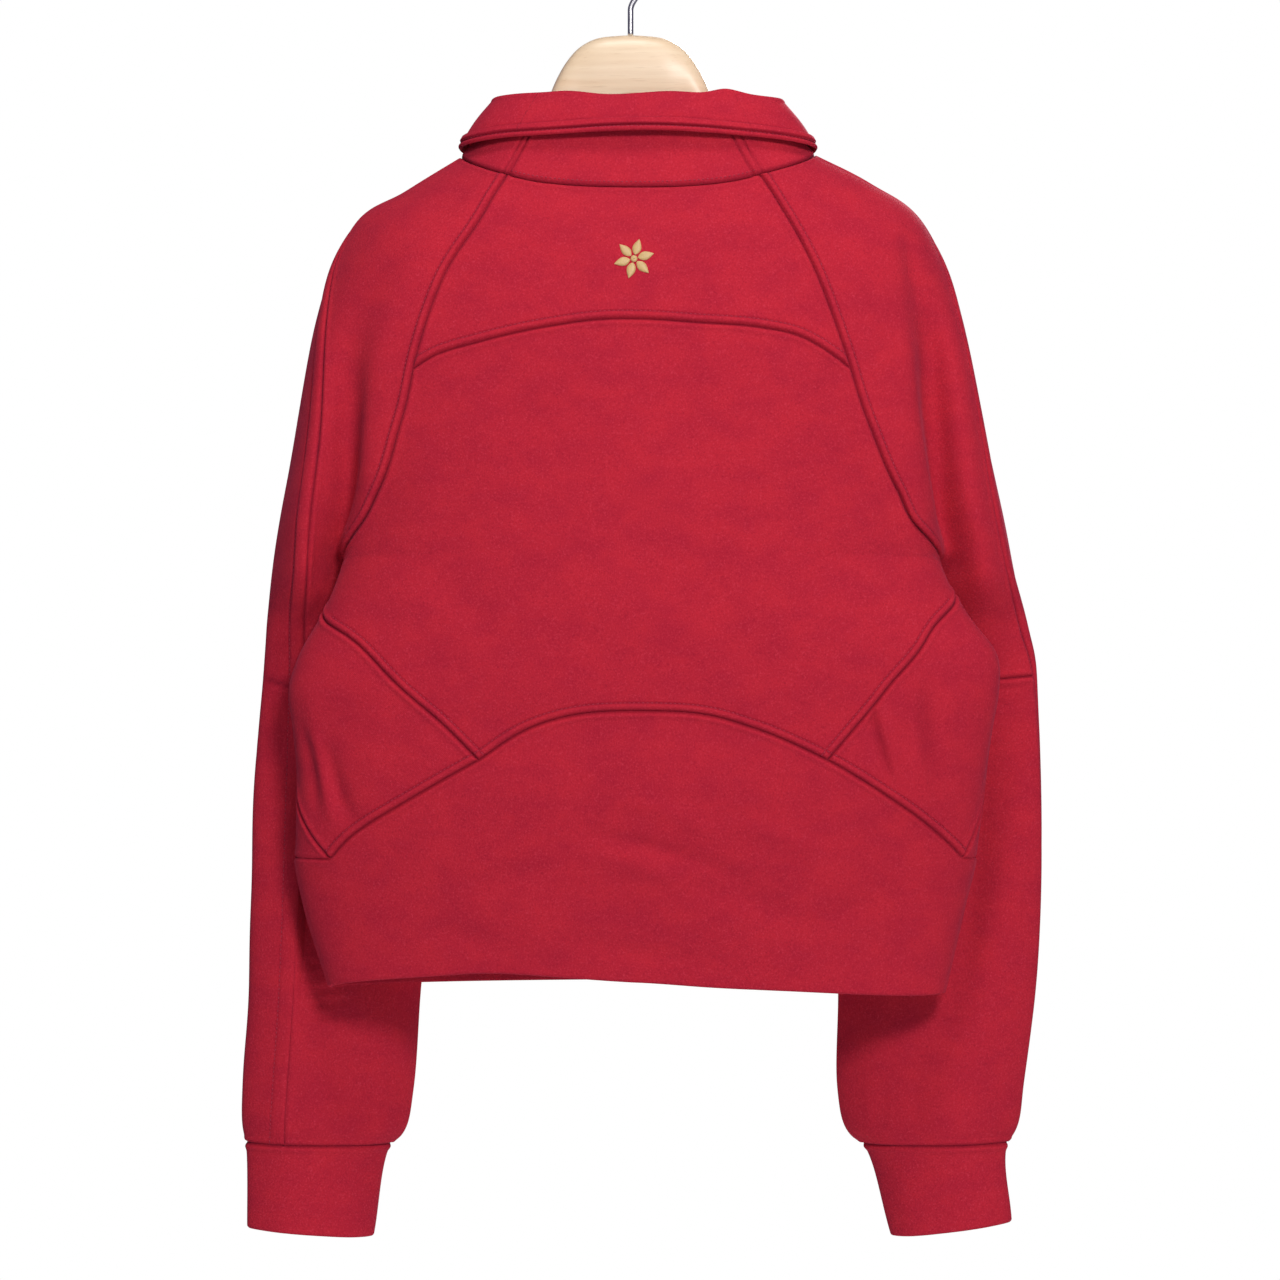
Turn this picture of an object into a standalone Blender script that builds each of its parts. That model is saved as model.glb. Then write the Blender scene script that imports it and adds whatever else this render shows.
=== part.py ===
"""Red raglan sweatshirt hanging on a wooden hanger, seen from its back.

Frame in metres: +Z up, the garment's back faces -Y, the origin is the inside top of the hook.
All tables are in millimetres.
"""
import bpy
import math
import numpy as np

MM = 0.001
OBJECT_NAME = "sweatshirt_on_hanger"

WALL = 2.0            # cloth wall
RIB_WALL = 2.4        # waistband, cuffs and collar
SEAM_GAP = 0.3        # clear gap between two pieces that are sewn together
BACK_POWER = 2.4      # roundness of the body's back half
FRONT_FLAT = 1.25     # over 1 the front half is flatter towards the sides, where the sleeves lie

YOKE_END = 3.3        # station on the raglan seams where the yoke seam ends
UNDERARM = 6.0        # station of the underarm point
ELBOW = 8.0           # station of the elbow seam
WRIST = 13.0          # station of the cuff seam
CUFF_END = 14.0       # station of the cuff's free edge

HOOK_WIRE = 4.0
HOOK_INNER_RADIUS = 18.0
HOOK_FOOT = -67.7
GARMENT_X = 5.2        # the garment hangs a little to the right of the hook

# Body sections: height, half width left, half width right, side line y, centre back y, centre front y
BODY = (
    (-140, 100, 103, 0, -37, 35),
    (-153, 123, 126, 0, -40, 37),
    (-165, 144, 150, 2, -43, 39),
    (-177, 164, 170, 5, -45.5, 41),
    (-188, 184, 186, 7, -49, 43),
    (-200, 199, 200, 9, -53, 45),
    (-215, 208, 209, 9, -57, 48),
    (-230, 212, 213, 8, -60, 50),
    (-265, 216, 217, 5, -65, 54),
    (-300, 215, 217, 2, -68, 56),
    (-340, 210, 214, -2, -70, 57),
    (-400, 201, 209, -8, -71, 58),
    (-440, 207, 212, -12, -71, 58),
    (-475, 221, 231, -17, -71, 57),
    (-500, 235, 249, -20, -70, 56),
    (-526, 243, 250.5, -20, -69, 55),
    (-550, 240, 246, -18, -67, 53),
    (-590, 237, 241.5, -12, -64, 51),
    (-617, 240, 239.5, -6, -60, 49),
    (-643, 240, 236.5, -2, -56, 47),
    (-673, 234.5, 229.5, 0, -51, 45),
    (-740, 214, 214, 0, -42, 40),
)

# Raglan seams: station, height at the back, way round at the back left and right,
# height at the front, way round at the front. The way round is 0 at the centre back,
# 1 at the side and 2 at the centre front.
RAGLAN = (
    (0.0, -169, 0.362, 0.310, -182, 1.707),
    (1.0, -200, 0.319, 0.297, -212, 1.680),
    (2.0, -240, 0.384, 0.342, -250, 1.615),
    (3.0, -290, 0.453, 0.407, -298, 1.555),
    (4.0, -340, 0.528, 0.487, -345, 1.489),
    (5.0, -390, 0.677, 0.626, -392, 1.389),
    (5.5, -415, 0.813, 0.740, -416, 1.328),
    (5.8, -431, 1.010, 0.960, -431, 1.280),
    (6.0, -440, 1.240, 1.240, -440, 1.240),
)

# Sleeve outline: station, height, x and y of the outermost line
OUT_LEFT = (
    (0, -153, 123, 0),
    (1, -177, 163, 5),
    (2, -200, 199, 11),
    (2.5, -229, 214.5, 13),
    (3, -265.6, 225, 14),
    (4, -336, 238.6, 14),
    (5, -400.7, 251.3, 15),
    (6, -441.5, 257.8, 18),
    (7, -484, 262.4, 24),
    (8, -520, 266.4, 27),
    (9, -597, 274, 34),
    (10, -669, 276.5, 38),
    (11, -737, 278, 40),
    (12, -806, 282.3, 42),
    (12.7, -838, 282.5, 43),
    (13, -848, 280, 43),
    (14, -908.3, 278.5, 40),
)
OUT_RIGHT = (
    (0, -151.5, 123, 0),
    (1, -171.5, 163, 5),
    (2, -199, 199.6, 11),
    (2.5, -229, 215.3, 13),
    (3, -264.2, 226, 14),
    (4, -333.2, 242, 14),
    (5, -400.7, 257, 15),
    (6, -441.5, 265.5, 18),
    (7, -484, 275, 24),
    (8, -516, 281.5, 27),
    (9, -597, 286, 34),
    (10, -669, 286.5, 38),
    (11, -737, 283, 40),
    (12, -806, 274.5, 42),
    (12.7, -838, 269.7, 43),
    (13, -848, 264, 43),
    (14, -904, 266.3, 40),
)

# Inner line of the sleeve's tube under the arm: station, height, x left, x right, y
INNER = (
    (7, -486, 180, 180, 54),
    (8, -530, 165, 163, 64),
    (9, -600, 148, 146, 67),
    (10, -671, 149, 141, 65),
    (11, -740, 156, 143.8, 62),
    (12, -812, 161, 143, 59),
    (12.7, -843, 168, 150.8, 57),
    (13, -850.5, 175.8, 160, 56),
    (14, -916, 188.3, 180.3, 50),
)

# Half depth of the sleeve's tube towards the back and the front: station, back, front
TUBE = (
    (7, 28, 33),
    (8, 24, 28),
    (9, 25, 27),
    (10, 26, 28),
    (11, 27, 27),
    (12, 26, 26),
    (12.7, 25, 25),
    (13, 22, 22),
    (14, 19, 19),
)

# Sleeve back over the shoulder: station, valley x, valley y, bulge x, bulge y, ridge, front bulge
SHOULDER_LEFT = (
    (0, 105, -30, 117, -17, 1, 13),
    (1, 131, -38, 152, -22, 2, 16),
    (2, 165, -42, 187, -22, 3, 18),
    (3, 191, -38, 208, -33, 4, 23),
    (4, 198, -31, 216, -33, 6, 31),
    (5, 201, -19, 226, -31, 8, 44),
    (6, 214, 3.5, 230, -22, 0, 54),
)
SHOULDER_RIGHT = (
    (0, 105, -30, 117, -17, 1, 13),
    (1, 131, -38, 152, -22, 2, 16),
    (2, 178, -37, 192, -22, 4, 18),
    (3, 198, -26, 212, -23, 9, 23),
    (4, 203, -19, 224, -23, 11, 31),
    (5, 208, -9, 231, -22, 10, 44),
    (6, 217, 5, 238, -18, 0, 54),
)

# Share of the way round the sleeve where the overarm seam runs: station, left, right
OVERARM = (
    (0, 0.500, 0.500),
    (2, 0.490, 0.490),
    (3, 0.404, 0.438),
    (4, 0.382, 0.436),
    (5, 0.368, 0.440),
    (7, 0.365, 0.465),
    (9, 0.362, 0.500),
    (14, 0.352, 0.510),
)

# Seams on the body as way round and height; the first three run across between their end points
YOKE_SEAM = (
    (-1.00, -305), (-0.88, -297), (-0.62, -287), (-0.30, -276.5), (-0.08, -271.5),
    (0.21, -274), (0.48, -277), (0.69, -283), (0.86, -294), (1.00, -305),
)
ARCH_SEAM = (
    (-1.00, -573), (-0.61, -551), (-0.28, -541.3), (0.00, -539.3),
    (0.25, -541.3), (0.56, -552.3), (1.00, -573),
)
HEM = (
    (-1.00, -734.5), (-0.44, -724), (-0.24, -721), (-0.12, -723.5), (0.00, -727),
    (0.09, -730), (0.30, -733.8), (0.61, -737.6), (1.00, -738),
)
GORE_LEFT = ((1.150, -462), (0.930, -473.4), (0.560, -497.6), (0.430, -522.4), (0.336, -546.5), (0.257, -573))
GORE_RIGHT = ((1.140, -452), (0.920, -461.3), (0.581, -488.8), (0.456, -516.4), (0.385, -544), (0.312, -573))
ARCH_END_LEFT = ((0.257, -573), (0.438, -604), (0.610, -631), (0.665, -642))
ARCH_END_RIGHT = ((0.312, -573), (0.499, -604), (0.671, -628.8), (0.780, -642))
SIDE_LEFT = ((1.240, -440), (1.150, -462), (1.060, -530), (0.990, -590), (0.820, -617), (0.665, -642))
SIDE_RIGHT = ((1.240, -440), (1.140, -452), (1.050, -530), (1.000, -590), (0.910, -613), (0.780, -642))
WAIST = -643
FRONT_HEM = -732
FRONT_NECK = (-182, -200)
BACK_NECK = -178.5

# Collar rings: half width, centre back y, centre front y, height at the back, side and front
COLLAR_FOLD = (97, -37, 35, -114.5, -113, -124)
COLLAR_EDGE = (125, -48.5, 46, -143.5, -149, -163)
COLLAR_FOLD_RADIUS = 2.6

# Wooden body of the hanger: x, top, bottom, half thickness, centre y
HANGER = (
    (-188, -212, -217, 3, 11.3),
    (-186, -206, -224, 10, 11),
    (-180, -201.5, -228, 14.5, 10.4),
    (-170, -196, -227, 16.5, 9.5),
    (-150, -184, -218, 17, 8),
    (-120, -166.5, -200, 16.5, 5.5),
    (-92, -149.5, -183, 16, 3),
    (-72, -136, -170, 15, 1.5),
    (-60, -121, -163, 14.5, 1),
    (-55, -106, -159, 14.2, 0.6),
    (-50.5, -96, -156, 14, 0.5),
    (-44.5, -86, -152, 13.5, 0.3),
    (-36, -76.5, -148, 13, 0.2),
    (-25, -70.5, -144, 13, 0),
    (-10, -68.2, -142, 13, 0),
)
SECTION_POINTS = 14

COLOURS = {
    "cloth": (0.42, 0.028, 0.055, 1.0),
    "rib": (0.40, 0.026, 0.052, 1.0),
    "wood": (0.78, 0.56, 0.36, 1.0),
    "steel": (0.62, 0.62, 0.63, 1.0),
}


def smooth(t, knots, values):
    """Cubic curve through the values at the knots, with the slopes of parabolas through three knots."""
    knots = np.asarray(knots, float)
    values = np.asarray(values, float)
    t = np.asarray(t, float)
    step = np.diff(knots)
    wide = step.reshape((-1,) + (1,) * (values.ndim - 1))
    rise = np.diff(values, axis=0) / wide
    slope = np.empty_like(values)
    slope[0] = rise[0]
    slope[-1] = rise[-1]
    slope[1:-1] = (wide[1:] * rise[:-1] + wide[:-1] * rise[1:]) / (wide[1:] + wide[:-1])
    k = np.clip(np.searchsorted(knots, t, side="right") - 1, 0, len(step) - 1)
    f = np.clip((t - knots[k]) / step[k], 0, 1)
    f = f.reshape(f.shape + (1,) * (values.ndim - 1))
    h = step[k].reshape(f.shape)
    start = values[k] * (1 + 2 * f) * (1 - f) ** 2 + slope[k] * h * f * (1 - f) ** 2
    return start + values[k + 1] * f * f * (3 - 2 * f) + slope[k + 1] * h * f * f * (f - 1)


def column(table, key, *names):
    """Values of the named columns along a table whose first column is the key."""
    rows = np.array(table, float)
    order = np.argsort(rows[:, 0])
    return smooth(key, rows[order, 0], rows[order][:, list(names)])


def body(round_way, height):
    """Point of the body's surface: a superellipse for every height."""
    round_way = np.asarray(round_way, float)
    height = np.broadcast_to(np.asarray(height, float), round_way.shape)
    left, right, side_y, back_y, front_y = np.moveaxis(column(BODY, height, 1, 2, 3, 4, 5), -1, 0)
    angle = np.abs(round_way) * math.pi / 2
    front = np.abs(round_way) > 1
    half = np.where(round_way < 0, left, right)
    x = np.sign(round_way) * half * np.abs(np.sin(angle)) ** np.where(front, FRONT_FLAT, 2 / BACK_POWER)
    depth = np.where(front, front_y - side_y, back_y - side_y)
    y = side_y + depth * np.abs(np.cos(angle)) ** np.where(front, 1.0, 2 / BACK_POWER)
    return np.stack([x, y, height], -1)


def raglan(side, station, front):
    """Way round and height of a raglan seam; side is -1 for the left and 1 for the right."""
    if front:
        height, way = np.moveaxis(column(RAGLAN, station, 4, 5), -1, 0)
    else:
        height, way = np.moveaxis(column(RAGLAN, station, 1, 2 if side < 0 else 3), -1, 0)
    return np.stack([side * way, height], -1)


def spaced(count, crowd=0.0):
    """Even shares from 0 to 1, crowded towards both ends."""
    t = np.arange(count + 1) / count
    return t - crowd * np.sin(2 * math.pi * t)


def across(table, ends, count, crowd=0.06):
    """Seam across the body between two end points, its height read from a table."""
    t = spaced(count, crowd)
    way = ends[0] + (ends[1] - ends[0]) * t
    share = np.where(way < 0, way / abs(ends[0]), way / abs(ends[1]))
    return np.stack([way, column(table, share, 1)[:, 0]], -1)


def along(points, share):
    """Points at shares of a seam that is given by way round and height."""
    points = np.array(points, float)
    rough = np.hypot(np.diff(points[:, 0]) * 200, np.diff(points[:, 1]))
    knots = np.concatenate([[0], np.cumsum(rough)])
    return smooth(np.asarray(share) * knots[-1], knots, points)


def mirror(points, side):
    """The same seam on the side that is asked for."""
    return np.asarray(points) * np.array([side, 1])


def patch(top, bottom, left, right, fade=1, crowd=0.0):
    """Patch between four seams: rows run from top to bottom, columns from left to right.

    Left and right are joined by straight lines; how far the top and bottom seams leave those lines fades
    with the given power towards the other end.
    """
    v = np.linspace(0, 1, len(left))[:, None, None]
    u = spaced(len(top) - 1, crowd)[None, :, None]
    top_bend = top[None] - (1 - u) * top[0] - u * top[-1]
    bottom_bend = bottom[None] - (1 - u) * bottom[0] - u * bottom[-1]
    return (1 - u) * left[:, None] + u * right[:, None] + (1 - v) ** fade * top_bend + v ** fade * bottom_bend


def turn(vector):
    """Plan vector turned a quarter towards the back."""
    return np.stack([vector[..., 1], -vector[..., 0]], -1)


def unit(vector):
    return vector / np.maximum(np.linalg.norm(vector, axis=-1, keepdims=True), 1e-9)


def ease(t):
    t = np.clip(t, 0, 1)
    return t * t * (3 - 2 * t)


def sleeve(side, stations, shares):
    """Surface of a sleeve and cuff: one row per station, each row a curve through eight guide points."""
    stations = np.asarray(stations, float)
    outline = OUT_LEFT if side < 0 else OUT_RIGHT
    shoulder = SHOULDER_LEFT if side < 0 else SHOULDER_RIGHT
    upper = np.minimum(stations, UNDERARM)
    lower = np.maximum(stations, UNDERARM)
    flip = np.array([side, 1, 1])

    out_z, out_x, out_y = np.moveaxis(column(outline, stations, 1, 2, 3), -1, 0)
    out = np.stack([out_x, out_y, out_z], -1)
    back_seam = raglan(side, upper, False)
    front_seam = raglan(side, upper, True)
    seam_back = body(back_seam[:, 0], back_seam[:, 1]) * flip
    seam_front = body(front_seam[:, 0], front_seam[:, 1]) * flip
    pit = (body(np.array([side * 1.24]), np.array([-440.0])) * flip)[0]
    inner_rows = [(UNDERARM, pit[2], pit[0], pit[0], pit[1])] + list(INNER)
    inner_z, inner_x, inner_y = np.moveaxis(column(inner_rows, lower, 1, 2 if side < 0 else 3, 4), -1, 0)
    inner = np.stack([inner_x, inner_y, inner_z], -1)
    below = (stations > UNDERARM)[:, None]
    start = np.where(below, inner, seam_back)
    end = np.where(below, inner, seam_front)

    # guide points of the rows over the shoulder
    valley_x, valley_y, bulge_x, bulge_y, ridge, belly = np.moveaxis(
        column(shoulder, upper, 1, 2, 3, 4, 5, 6), -1, 0)
    valley = np.stack([valley_x, valley_y], -1)
    bulge = np.stack([bulge_x, bulge_y], -1)
    start_up = np.where(below, pit, seam_back)[:, :2]
    end_up = np.where(below, pit, seam_front)[:, :2]
    out_up = column(outline, upper, 2, 3)
    crest = start_up + 0.65 * (valley - start_up) + ridge[:, None] * turn(unit(valley - start_up))
    face = -turn(unit(out_up - end_up))
    front_out = out_up + 0.28 * (end_up - out_up) + 0.95 * belly[:, None] * face
    front_in = out_up + 0.70 * (end_up - out_up) + 0.80 * belly[:, None] * face
    guide_up = np.stack([crest, valley, bulge, front_out, front_in], 1)

    # guide points of the rows around the tube
    tube = column([(UNDERARM, 44, 46)] + list(TUBE), lower, 1, 2)
    tube_low = column(TUBE, np.maximum(stations, 7), 1, 2)
    inner_low = column(INNER, np.maximum(stations, 7), 2 if side < 0 else 3, 4)
    out_low = column(outline, np.maximum(stations, 7), 2, 3)
    chord = out_low - inner_low
    to_back = turn(unit(chord))

    def ring(share, depth):
        return inner_low + share * chord + depth[:, None] * to_back

    guide_low = np.stack([
        ring(0.13, 0.68 * tube_low[:, 0]), ring(0.42, tube_low[:, 0]), ring(0.78, 0.84 * tube_low[:, 0]),
        ring(0.77, -0.84 * tube_low[:, 1]), ring(0.30, -0.94 * tube_low[:, 1])], 1)
    mix = ease(stations - UNDERARM)[:, None, None]
    guide = guide_up * (1 - mix) + guide_low * mix

    # heights along a row follow the way from the seam to the outline
    def level(points, seam):
        run = out[:, None, :2] - seam[:, None, :2]
        share = ((points - seam[:, None, :2]) * run).sum(-1) / (run * run).sum(-1)
        share = np.clip(share, 0, 1)[..., None]
        return np.concatenate([points, seam[:, None, 2:] + share * (out[:, None, 2:] - seam[:, None, 2:])], -1)

    back_guides = level(guide[:, :3], start)
    front_guides = level(guide[:, 3:], end)
    points = np.concatenate([start[:, None], back_guides, out[:, None], front_guides, end[:, None]], 1)

    # directions in which a row leaves and reaches its seams
    step = 0.01
    ahead = (body(back_seam[:, 0] + side * step, back_seam[:, 1]) * flip - seam_back)[:, :2]
    onward = (body(front_seam[:, 0] + side * step, front_seam[:, 1]) * flip - seam_front)[:, :2]
    loose = ease((stations - 3.5) / 2.5)[:, None]
    closed = ease(stations - UNDERARM)[:, None]
    leave = (1 - closed) * np.array([0.85, -0.5]) + closed * to_back
    reach = (1 - closed) * np.array([-0.35, -0.94]) + closed * to_back
    leave = unit((1 - loose) * unit(ahead) + loose * leave)
    reach = unit((1 - loose) * unit(onward) + loose * reach)

    length = np.linalg.norm(np.diff(points, axis=1), axis=-1)
    rise = np.diff(points, axis=1) / length[..., None]
    slope = np.empty_like(points)
    weight = length[:, 1:, None] / (length[:, 1:, None] + length[:, :-1, None])
    slope[:, 1:-1] = weight * rise[:, :-1] + (1 - weight) * rise[:, 1:]
    slope[:, 0] = np.concatenate([leave, rise[:, 0, 2:]], -1)
    slope[:, -1] = np.concatenate([reach, rise[:, -1, 2:]], -1)

    knots = np.array([0, 0.14, 0.24, 0.37, 0.5, 0.66, 0.82, 1.0])
    shares = np.asarray(shares, float)
    if shares.ndim == 1:
        shares = np.broadcast_to(shares, (len(stations), len(shares)))
    k = np.clip(np.searchsorted(knots, shares, side="right") - 1, 0, len(knots) - 2)
    f = ((shares - knots[k]) / (knots[k + 1] - knots[k]))[..., None]
    row = np.arange(len(stations))[:, None]
    h = length[row, k][..., None]
    near = points[row, k] * (1 + 2 * f) * (1 - f) ** 2 + slope[row, k] * h * f * (1 - f) ** 2
    far = points[row, k + 1] * f * f * (3 - 2 * f) + slope[row, k + 1] * h * f * f * (f - 1)
    return (near + far) * flip


def sleeve_shares(side, stations, front, count):
    """Shares from the raglan seam to the overarm seam, or from there to the front seam."""
    seam = column(OVERARM, stations, 1 if side < 0 else 2)
    t = spaced(count)[None, :]
    if front:
        return seam + (1 - seam) * t
    return seam * t


# Rows and columns
YOKE_ROWS = 6
SIDE_TOP_ROWS = 2
GORE_ROWS = 6
ACROSS = 20
ROUND_SIDE = 3
FRONT_ACROSS = 18
BAND_ROWS = 5
SLEEVE_BACK = 8
SLEEVE_FRONT = 9

raglan_stations = np.concatenate([np.linspace(0, YOKE_END, YOKE_ROWS + 1),
                                  [3.8, 4.3, 4.75, 5.1, 5.4, 5.62, 5.8, 5.91, UNDERARM]])
upper_stations = np.concatenate([raglan_stations, [6.15, 6.4, 6.75, 7.1, 7.55, ELBOW]])
lower_stations = np.array([ELBOW, 8.45, 8.9, 9.4, 10, 10.6, 11.2, 11.8, 12.3, 12.7, 12.87, WRIST])
all_stations = np.concatenate([upper_stations, lower_stations[1:]])
cuff_stations = np.linspace(WRIST, CUFF_END, 4)
CROTCH = np.array([5.4, 5.62, 5.8, 5.91, UNDERARM])  # here the walls turn until they face down


def seams():
    """All shared seams as way round and height, each with its own fixed points."""
    s = {}
    for side, tag in ((-1, "left"), (1, "right")):
        gore = GORE_LEFT if side < 0 else GORE_RIGHT
        arch = ARCH_END_LEFT if side < 0 else ARCH_END_RIGHT
        line = SIDE_LEFT if side < 0 else SIDE_RIGHT
        s["raglan_" + tag] = raglan(side, raglan_stations, False)
        s["raglan_front_" + tag] = raglan(side, raglan_stations, True)
        s["gore_" + tag] = mirror(along(gore, spaced(GORE_ROWS)), side)
        s["arch_" + tag] = mirror(along(arch, spaced(GORE_ROWS)), side)
        s["side_top_" + tag] = mirror(along(line[:2], spaced(SIDE_TOP_ROWS)), side)
        s["side_" + tag] = mirror(along(line[1:], spaced(2 * GORE_ROWS)), side)
        corner = s["side_" + tag][-1]
        t = spaced(ROUND_SIDE)[:, None]
        s["waist_" + tag] = corner + t * (np.array([side, WAIST]) - corner)
    left = s["raglan_left"][YOKE_ROWS]
    right = s["raglan_right"][YOKE_ROWS]
    s["yoke"] = across(YOKE_SEAM, (left[0], right[0]), ACROSS)
    s["yoke"][0] = left
    s["yoke"][-1] = right
    s["arch"] = across(ARCH_SEAM, (-GORE_LEFT[-1][0], GORE_RIGHT[-1][0]), ACROSS)
    top_left = s["raglan_left"][0]
    top_right = s["raglan_right"][0]
    t = spaced(ACROSS, 0.06)
    way = top_left[0] + (top_right[0] - top_left[0]) * t
    share = np.where(way < 0, way / top_left[0], way / top_right[0])
    s["neck"] = np.stack([way, BACK_NECK + (top_left[1] - BACK_NECK) * share ** 2], -1)
    return s


def unroll(points):
    """Way round counted on from the right side over the front to the left side, 2 at the centre front."""
    points = np.array(points, float)
    points[:, 0] = np.where(points[:, 0] < 0, points[:, 0] + 4, points[:, 0])
    return points


def roll(points):
    points = np.array(points, float)
    points[..., 0] = np.where(points[..., 0] > 2, points[..., 0] - 4, points[..., 0])
    return points


def flat_panels():
    """Grids of the body's pieces, rows downwards and columns so that the outside is outside."""
    s = seams()
    p = {}
    p["back_yoke"] = patch(s["neck"], s["yoke"], s["raglan_left"][:YOKE_ROWS + 1],
                           s["raglan_right"][:YOKE_ROWS + 1], 1, 0.06)

    def edge(tag):
        return np.concatenate([s["raglan_" + tag][YOKE_ROWS:], s["side_top_" + tag][1:], s["gore_" + tag][1:]])

    p["back_panel"] = patch(s["yoke"], s["arch"], edge("left"), edge("right"), 3, 0.06)
    side = s["side_left"]
    p["gore_left"] = patch(side[:GORE_ROWS + 1][::-1], s["arch_left"][::-1],
                           side[GORE_ROWS:], s["gore_left"])
    side = s["side_right"]
    p["gore_right"] = patch(side[:GORE_ROWS + 1], s["arch_right"], s["gore_right"], side[GORE_ROWS:])

    top = np.concatenate([s["waist_left"][::-1], s["arch_left"][::-1][1:], s["arch"][1:],
                          s["arch_right"][1:], s["waist_right"][1:]])
    low = np.stack([top[:, 0], column(HEM, top[:, 0], 1)[:, 0]], -1)
    t = spaced(BAND_ROWS)[:, None]
    p["waistband_back"] = patch(top, low, top[0] + t * (low[0] - top[0]), top[-1] + t * (low[-1] - top[-1]))

    way = np.linspace(1, 3, FRONT_ACROSS + 1)
    waist = np.stack([way, np.full_like(way, WAIST)], -1)
    end = np.where(way < 2, HEM[-1][1], HEM[0][1])
    hem = np.stack([way, FRONT_HEM + (end - FRONT_HEM) * (way - 2) ** 2], -1)
    p["waistband_front"] = patch(waist, hem, waist[0] + t * (hem[0] - waist[0]), waist[-1] + t * (hem[-1] - waist[-1]))

    bottom = np.concatenate([unroll(s["waist_right"][:-1]), waist, unroll(s["waist_left"][::-1][1:])])
    right = unroll(np.concatenate([s["raglan_front_right"], s["side_top_right"][1:], s["side_right"][1:]]))
    left = unroll(np.concatenate([s["raglan_front_left"], s["side_top_left"][1:], s["side_left"][1:]]))
    t = np.linspace(0, 1, len(bottom))
    way = right[0, 0] + (left[0, 0] - right[0, 0]) * t
    neck = np.stack([way, FRONT_NECK[1] + (FRONT_NECK[0] - FRONT_NECK[1]) * (2 * t - 1) ** 2], -1)
    p["front_panel"] = patch(neck, bottom, right, left, 3)
    return {name: with_normals(*np.moveaxis(roll(grid), -1, 0)) for name, grid in p.items()}


def with_normals(way, height):
    """Points of the body's surface and its outward normals there."""
    step = 0.004
    ahead = np.where(np.abs(way) > 1.98, way - np.sign(way) * step, way + step)
    turn_sign = np.where(np.abs(way) > 1.98, -np.sign(way), 1.0)[..., None]
    around = (body(ahead, height) - body(way, height)) * turn_sign
    down = body(way, height - 1) - body(way, height + 1)
    return body(way, height), unit(np.cross(down, around))


def sleeve_with_normals(side, stations, shares):
    """Points of a sleeve's surface and its outward normals there, columns in the body's direction."""
    low = np.clip(stations - 0.04, 0, CUFF_END)
    high = np.clip(stations + 0.04, 0, CUFF_END)
    down = sleeve(side, high, shares) - sleeve(side, low, shares)
    left = np.clip(shares - 0.01, 0, 1)
    right = np.clip(shares + 0.01, 0, 1)
    around = sleeve(side, stations, right) - sleeve(side, stations, left)
    turned = slice(None, None, side)
    normal = unit(np.cross(down, around)) * side
    return sleeve(side, stations, shares)[:, turned], normal[:, turned]


def sleeve_panels():
    """Grids of the sleeves and cuffs."""
    p = {}
    for side, tag in ((-1, "left"), (1, "right")):
        for name, rows, front, count in (
                ("sleeve_back_upper_", upper_stations, False, SLEEVE_BACK),
                ("sleeve_back_lower_", lower_stations, False, SLEEVE_BACK),
                ("sleeve_front_", all_stations, True, SLEEVE_FRONT)):
            p[name + tag] = sleeve_with_normals(side, rows, sleeve_shares(side, rows, front, count))
        back = sleeve_shares(side, cuff_stations, False, SLEEVE_BACK)
        front = sleeve_shares(side, cuff_stations, True, SLEEVE_FRONT)
        p["cuff_" + tag] = sleeve_with_normals(side, cuff_stations, np.concatenate([back, front[:, 1:]], 1))
    return p


def shared_normals(grids, raw):
    """Common normals at the points where pieces meet: across all pieces, and within the body or one sleeve."""
    points = np.concatenate([grid.reshape(-1, 3) for grid in grids.values()])
    vectors = np.concatenate([raw[name].reshape(-1, 3) for name in grids])
    keys, where = np.unique(np.round(points, 2), axis=0, return_inverse=True)
    where = where.reshape(-1)
    family = np.concatenate([np.full(grid.shape[0] * grid.shape[1], group_of(name)) for name, grid in grids.items()])
    total = np.zeros((len(keys), 3))
    near = np.zeros((3, len(keys), 3))
    np.add.at(total, where, vectors)
    np.add.at(near, (family, where), vectors)
    total = unit(total)

    def find(point):
        return np.abs(keys - np.round(point, 2)).max(-1) < 0.02

    for side in (-1, 1):
        for front in (False, True):
            line = raglan(side, CROTCH, front)
            spots = body(line[:, 0], line[:, 1])
            turned_from = total[find(spots[0])][0]
            for station, spot in zip(CROTCH[1:], spots[1:]):
                share = ease((station - CROTCH[0]) / (UNDERARM - CROTCH[0]))
                total[find(spot)] = unit((1 - share) * turned_from + share * np.array([0, 0, -1.0]))
    everywhere = total[where]
    own = unit(near[family, where])
    alike = ease(((own * everywhere).sum(-1, keepdims=True) - 0.75) / 0.2)
    through = unit(own + alike * (everywhere - own))
    seam_normals = {}
    wall_normals = {}
    start = 0
    for name, grid in grids.items():
        count = grid.shape[0] * grid.shape[1]
        seam_normals[name] = everywhere[start:start + count].reshape(grid.shape)
        wall_normals[name] = through[start:start + count].reshape(grid.shape)
        start += count
    return seam_normals, wall_normals


def group_of(name):
    """0 for the body's pieces, 1 and 2 for those of the left and right sleeve."""
    if not name.startswith(("sleeve", "cuff")):
        return 0
    return 1 if name.endswith("left") else 2


def meet(one, two):
    """Shift that keeps the seam gap from both of two borders with these inward directions."""
    return SEAM_GAP / 2 * (one + two) / np.maximum(1 + (one * two).sum(-1, keepdims=True), 0.3)


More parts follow.
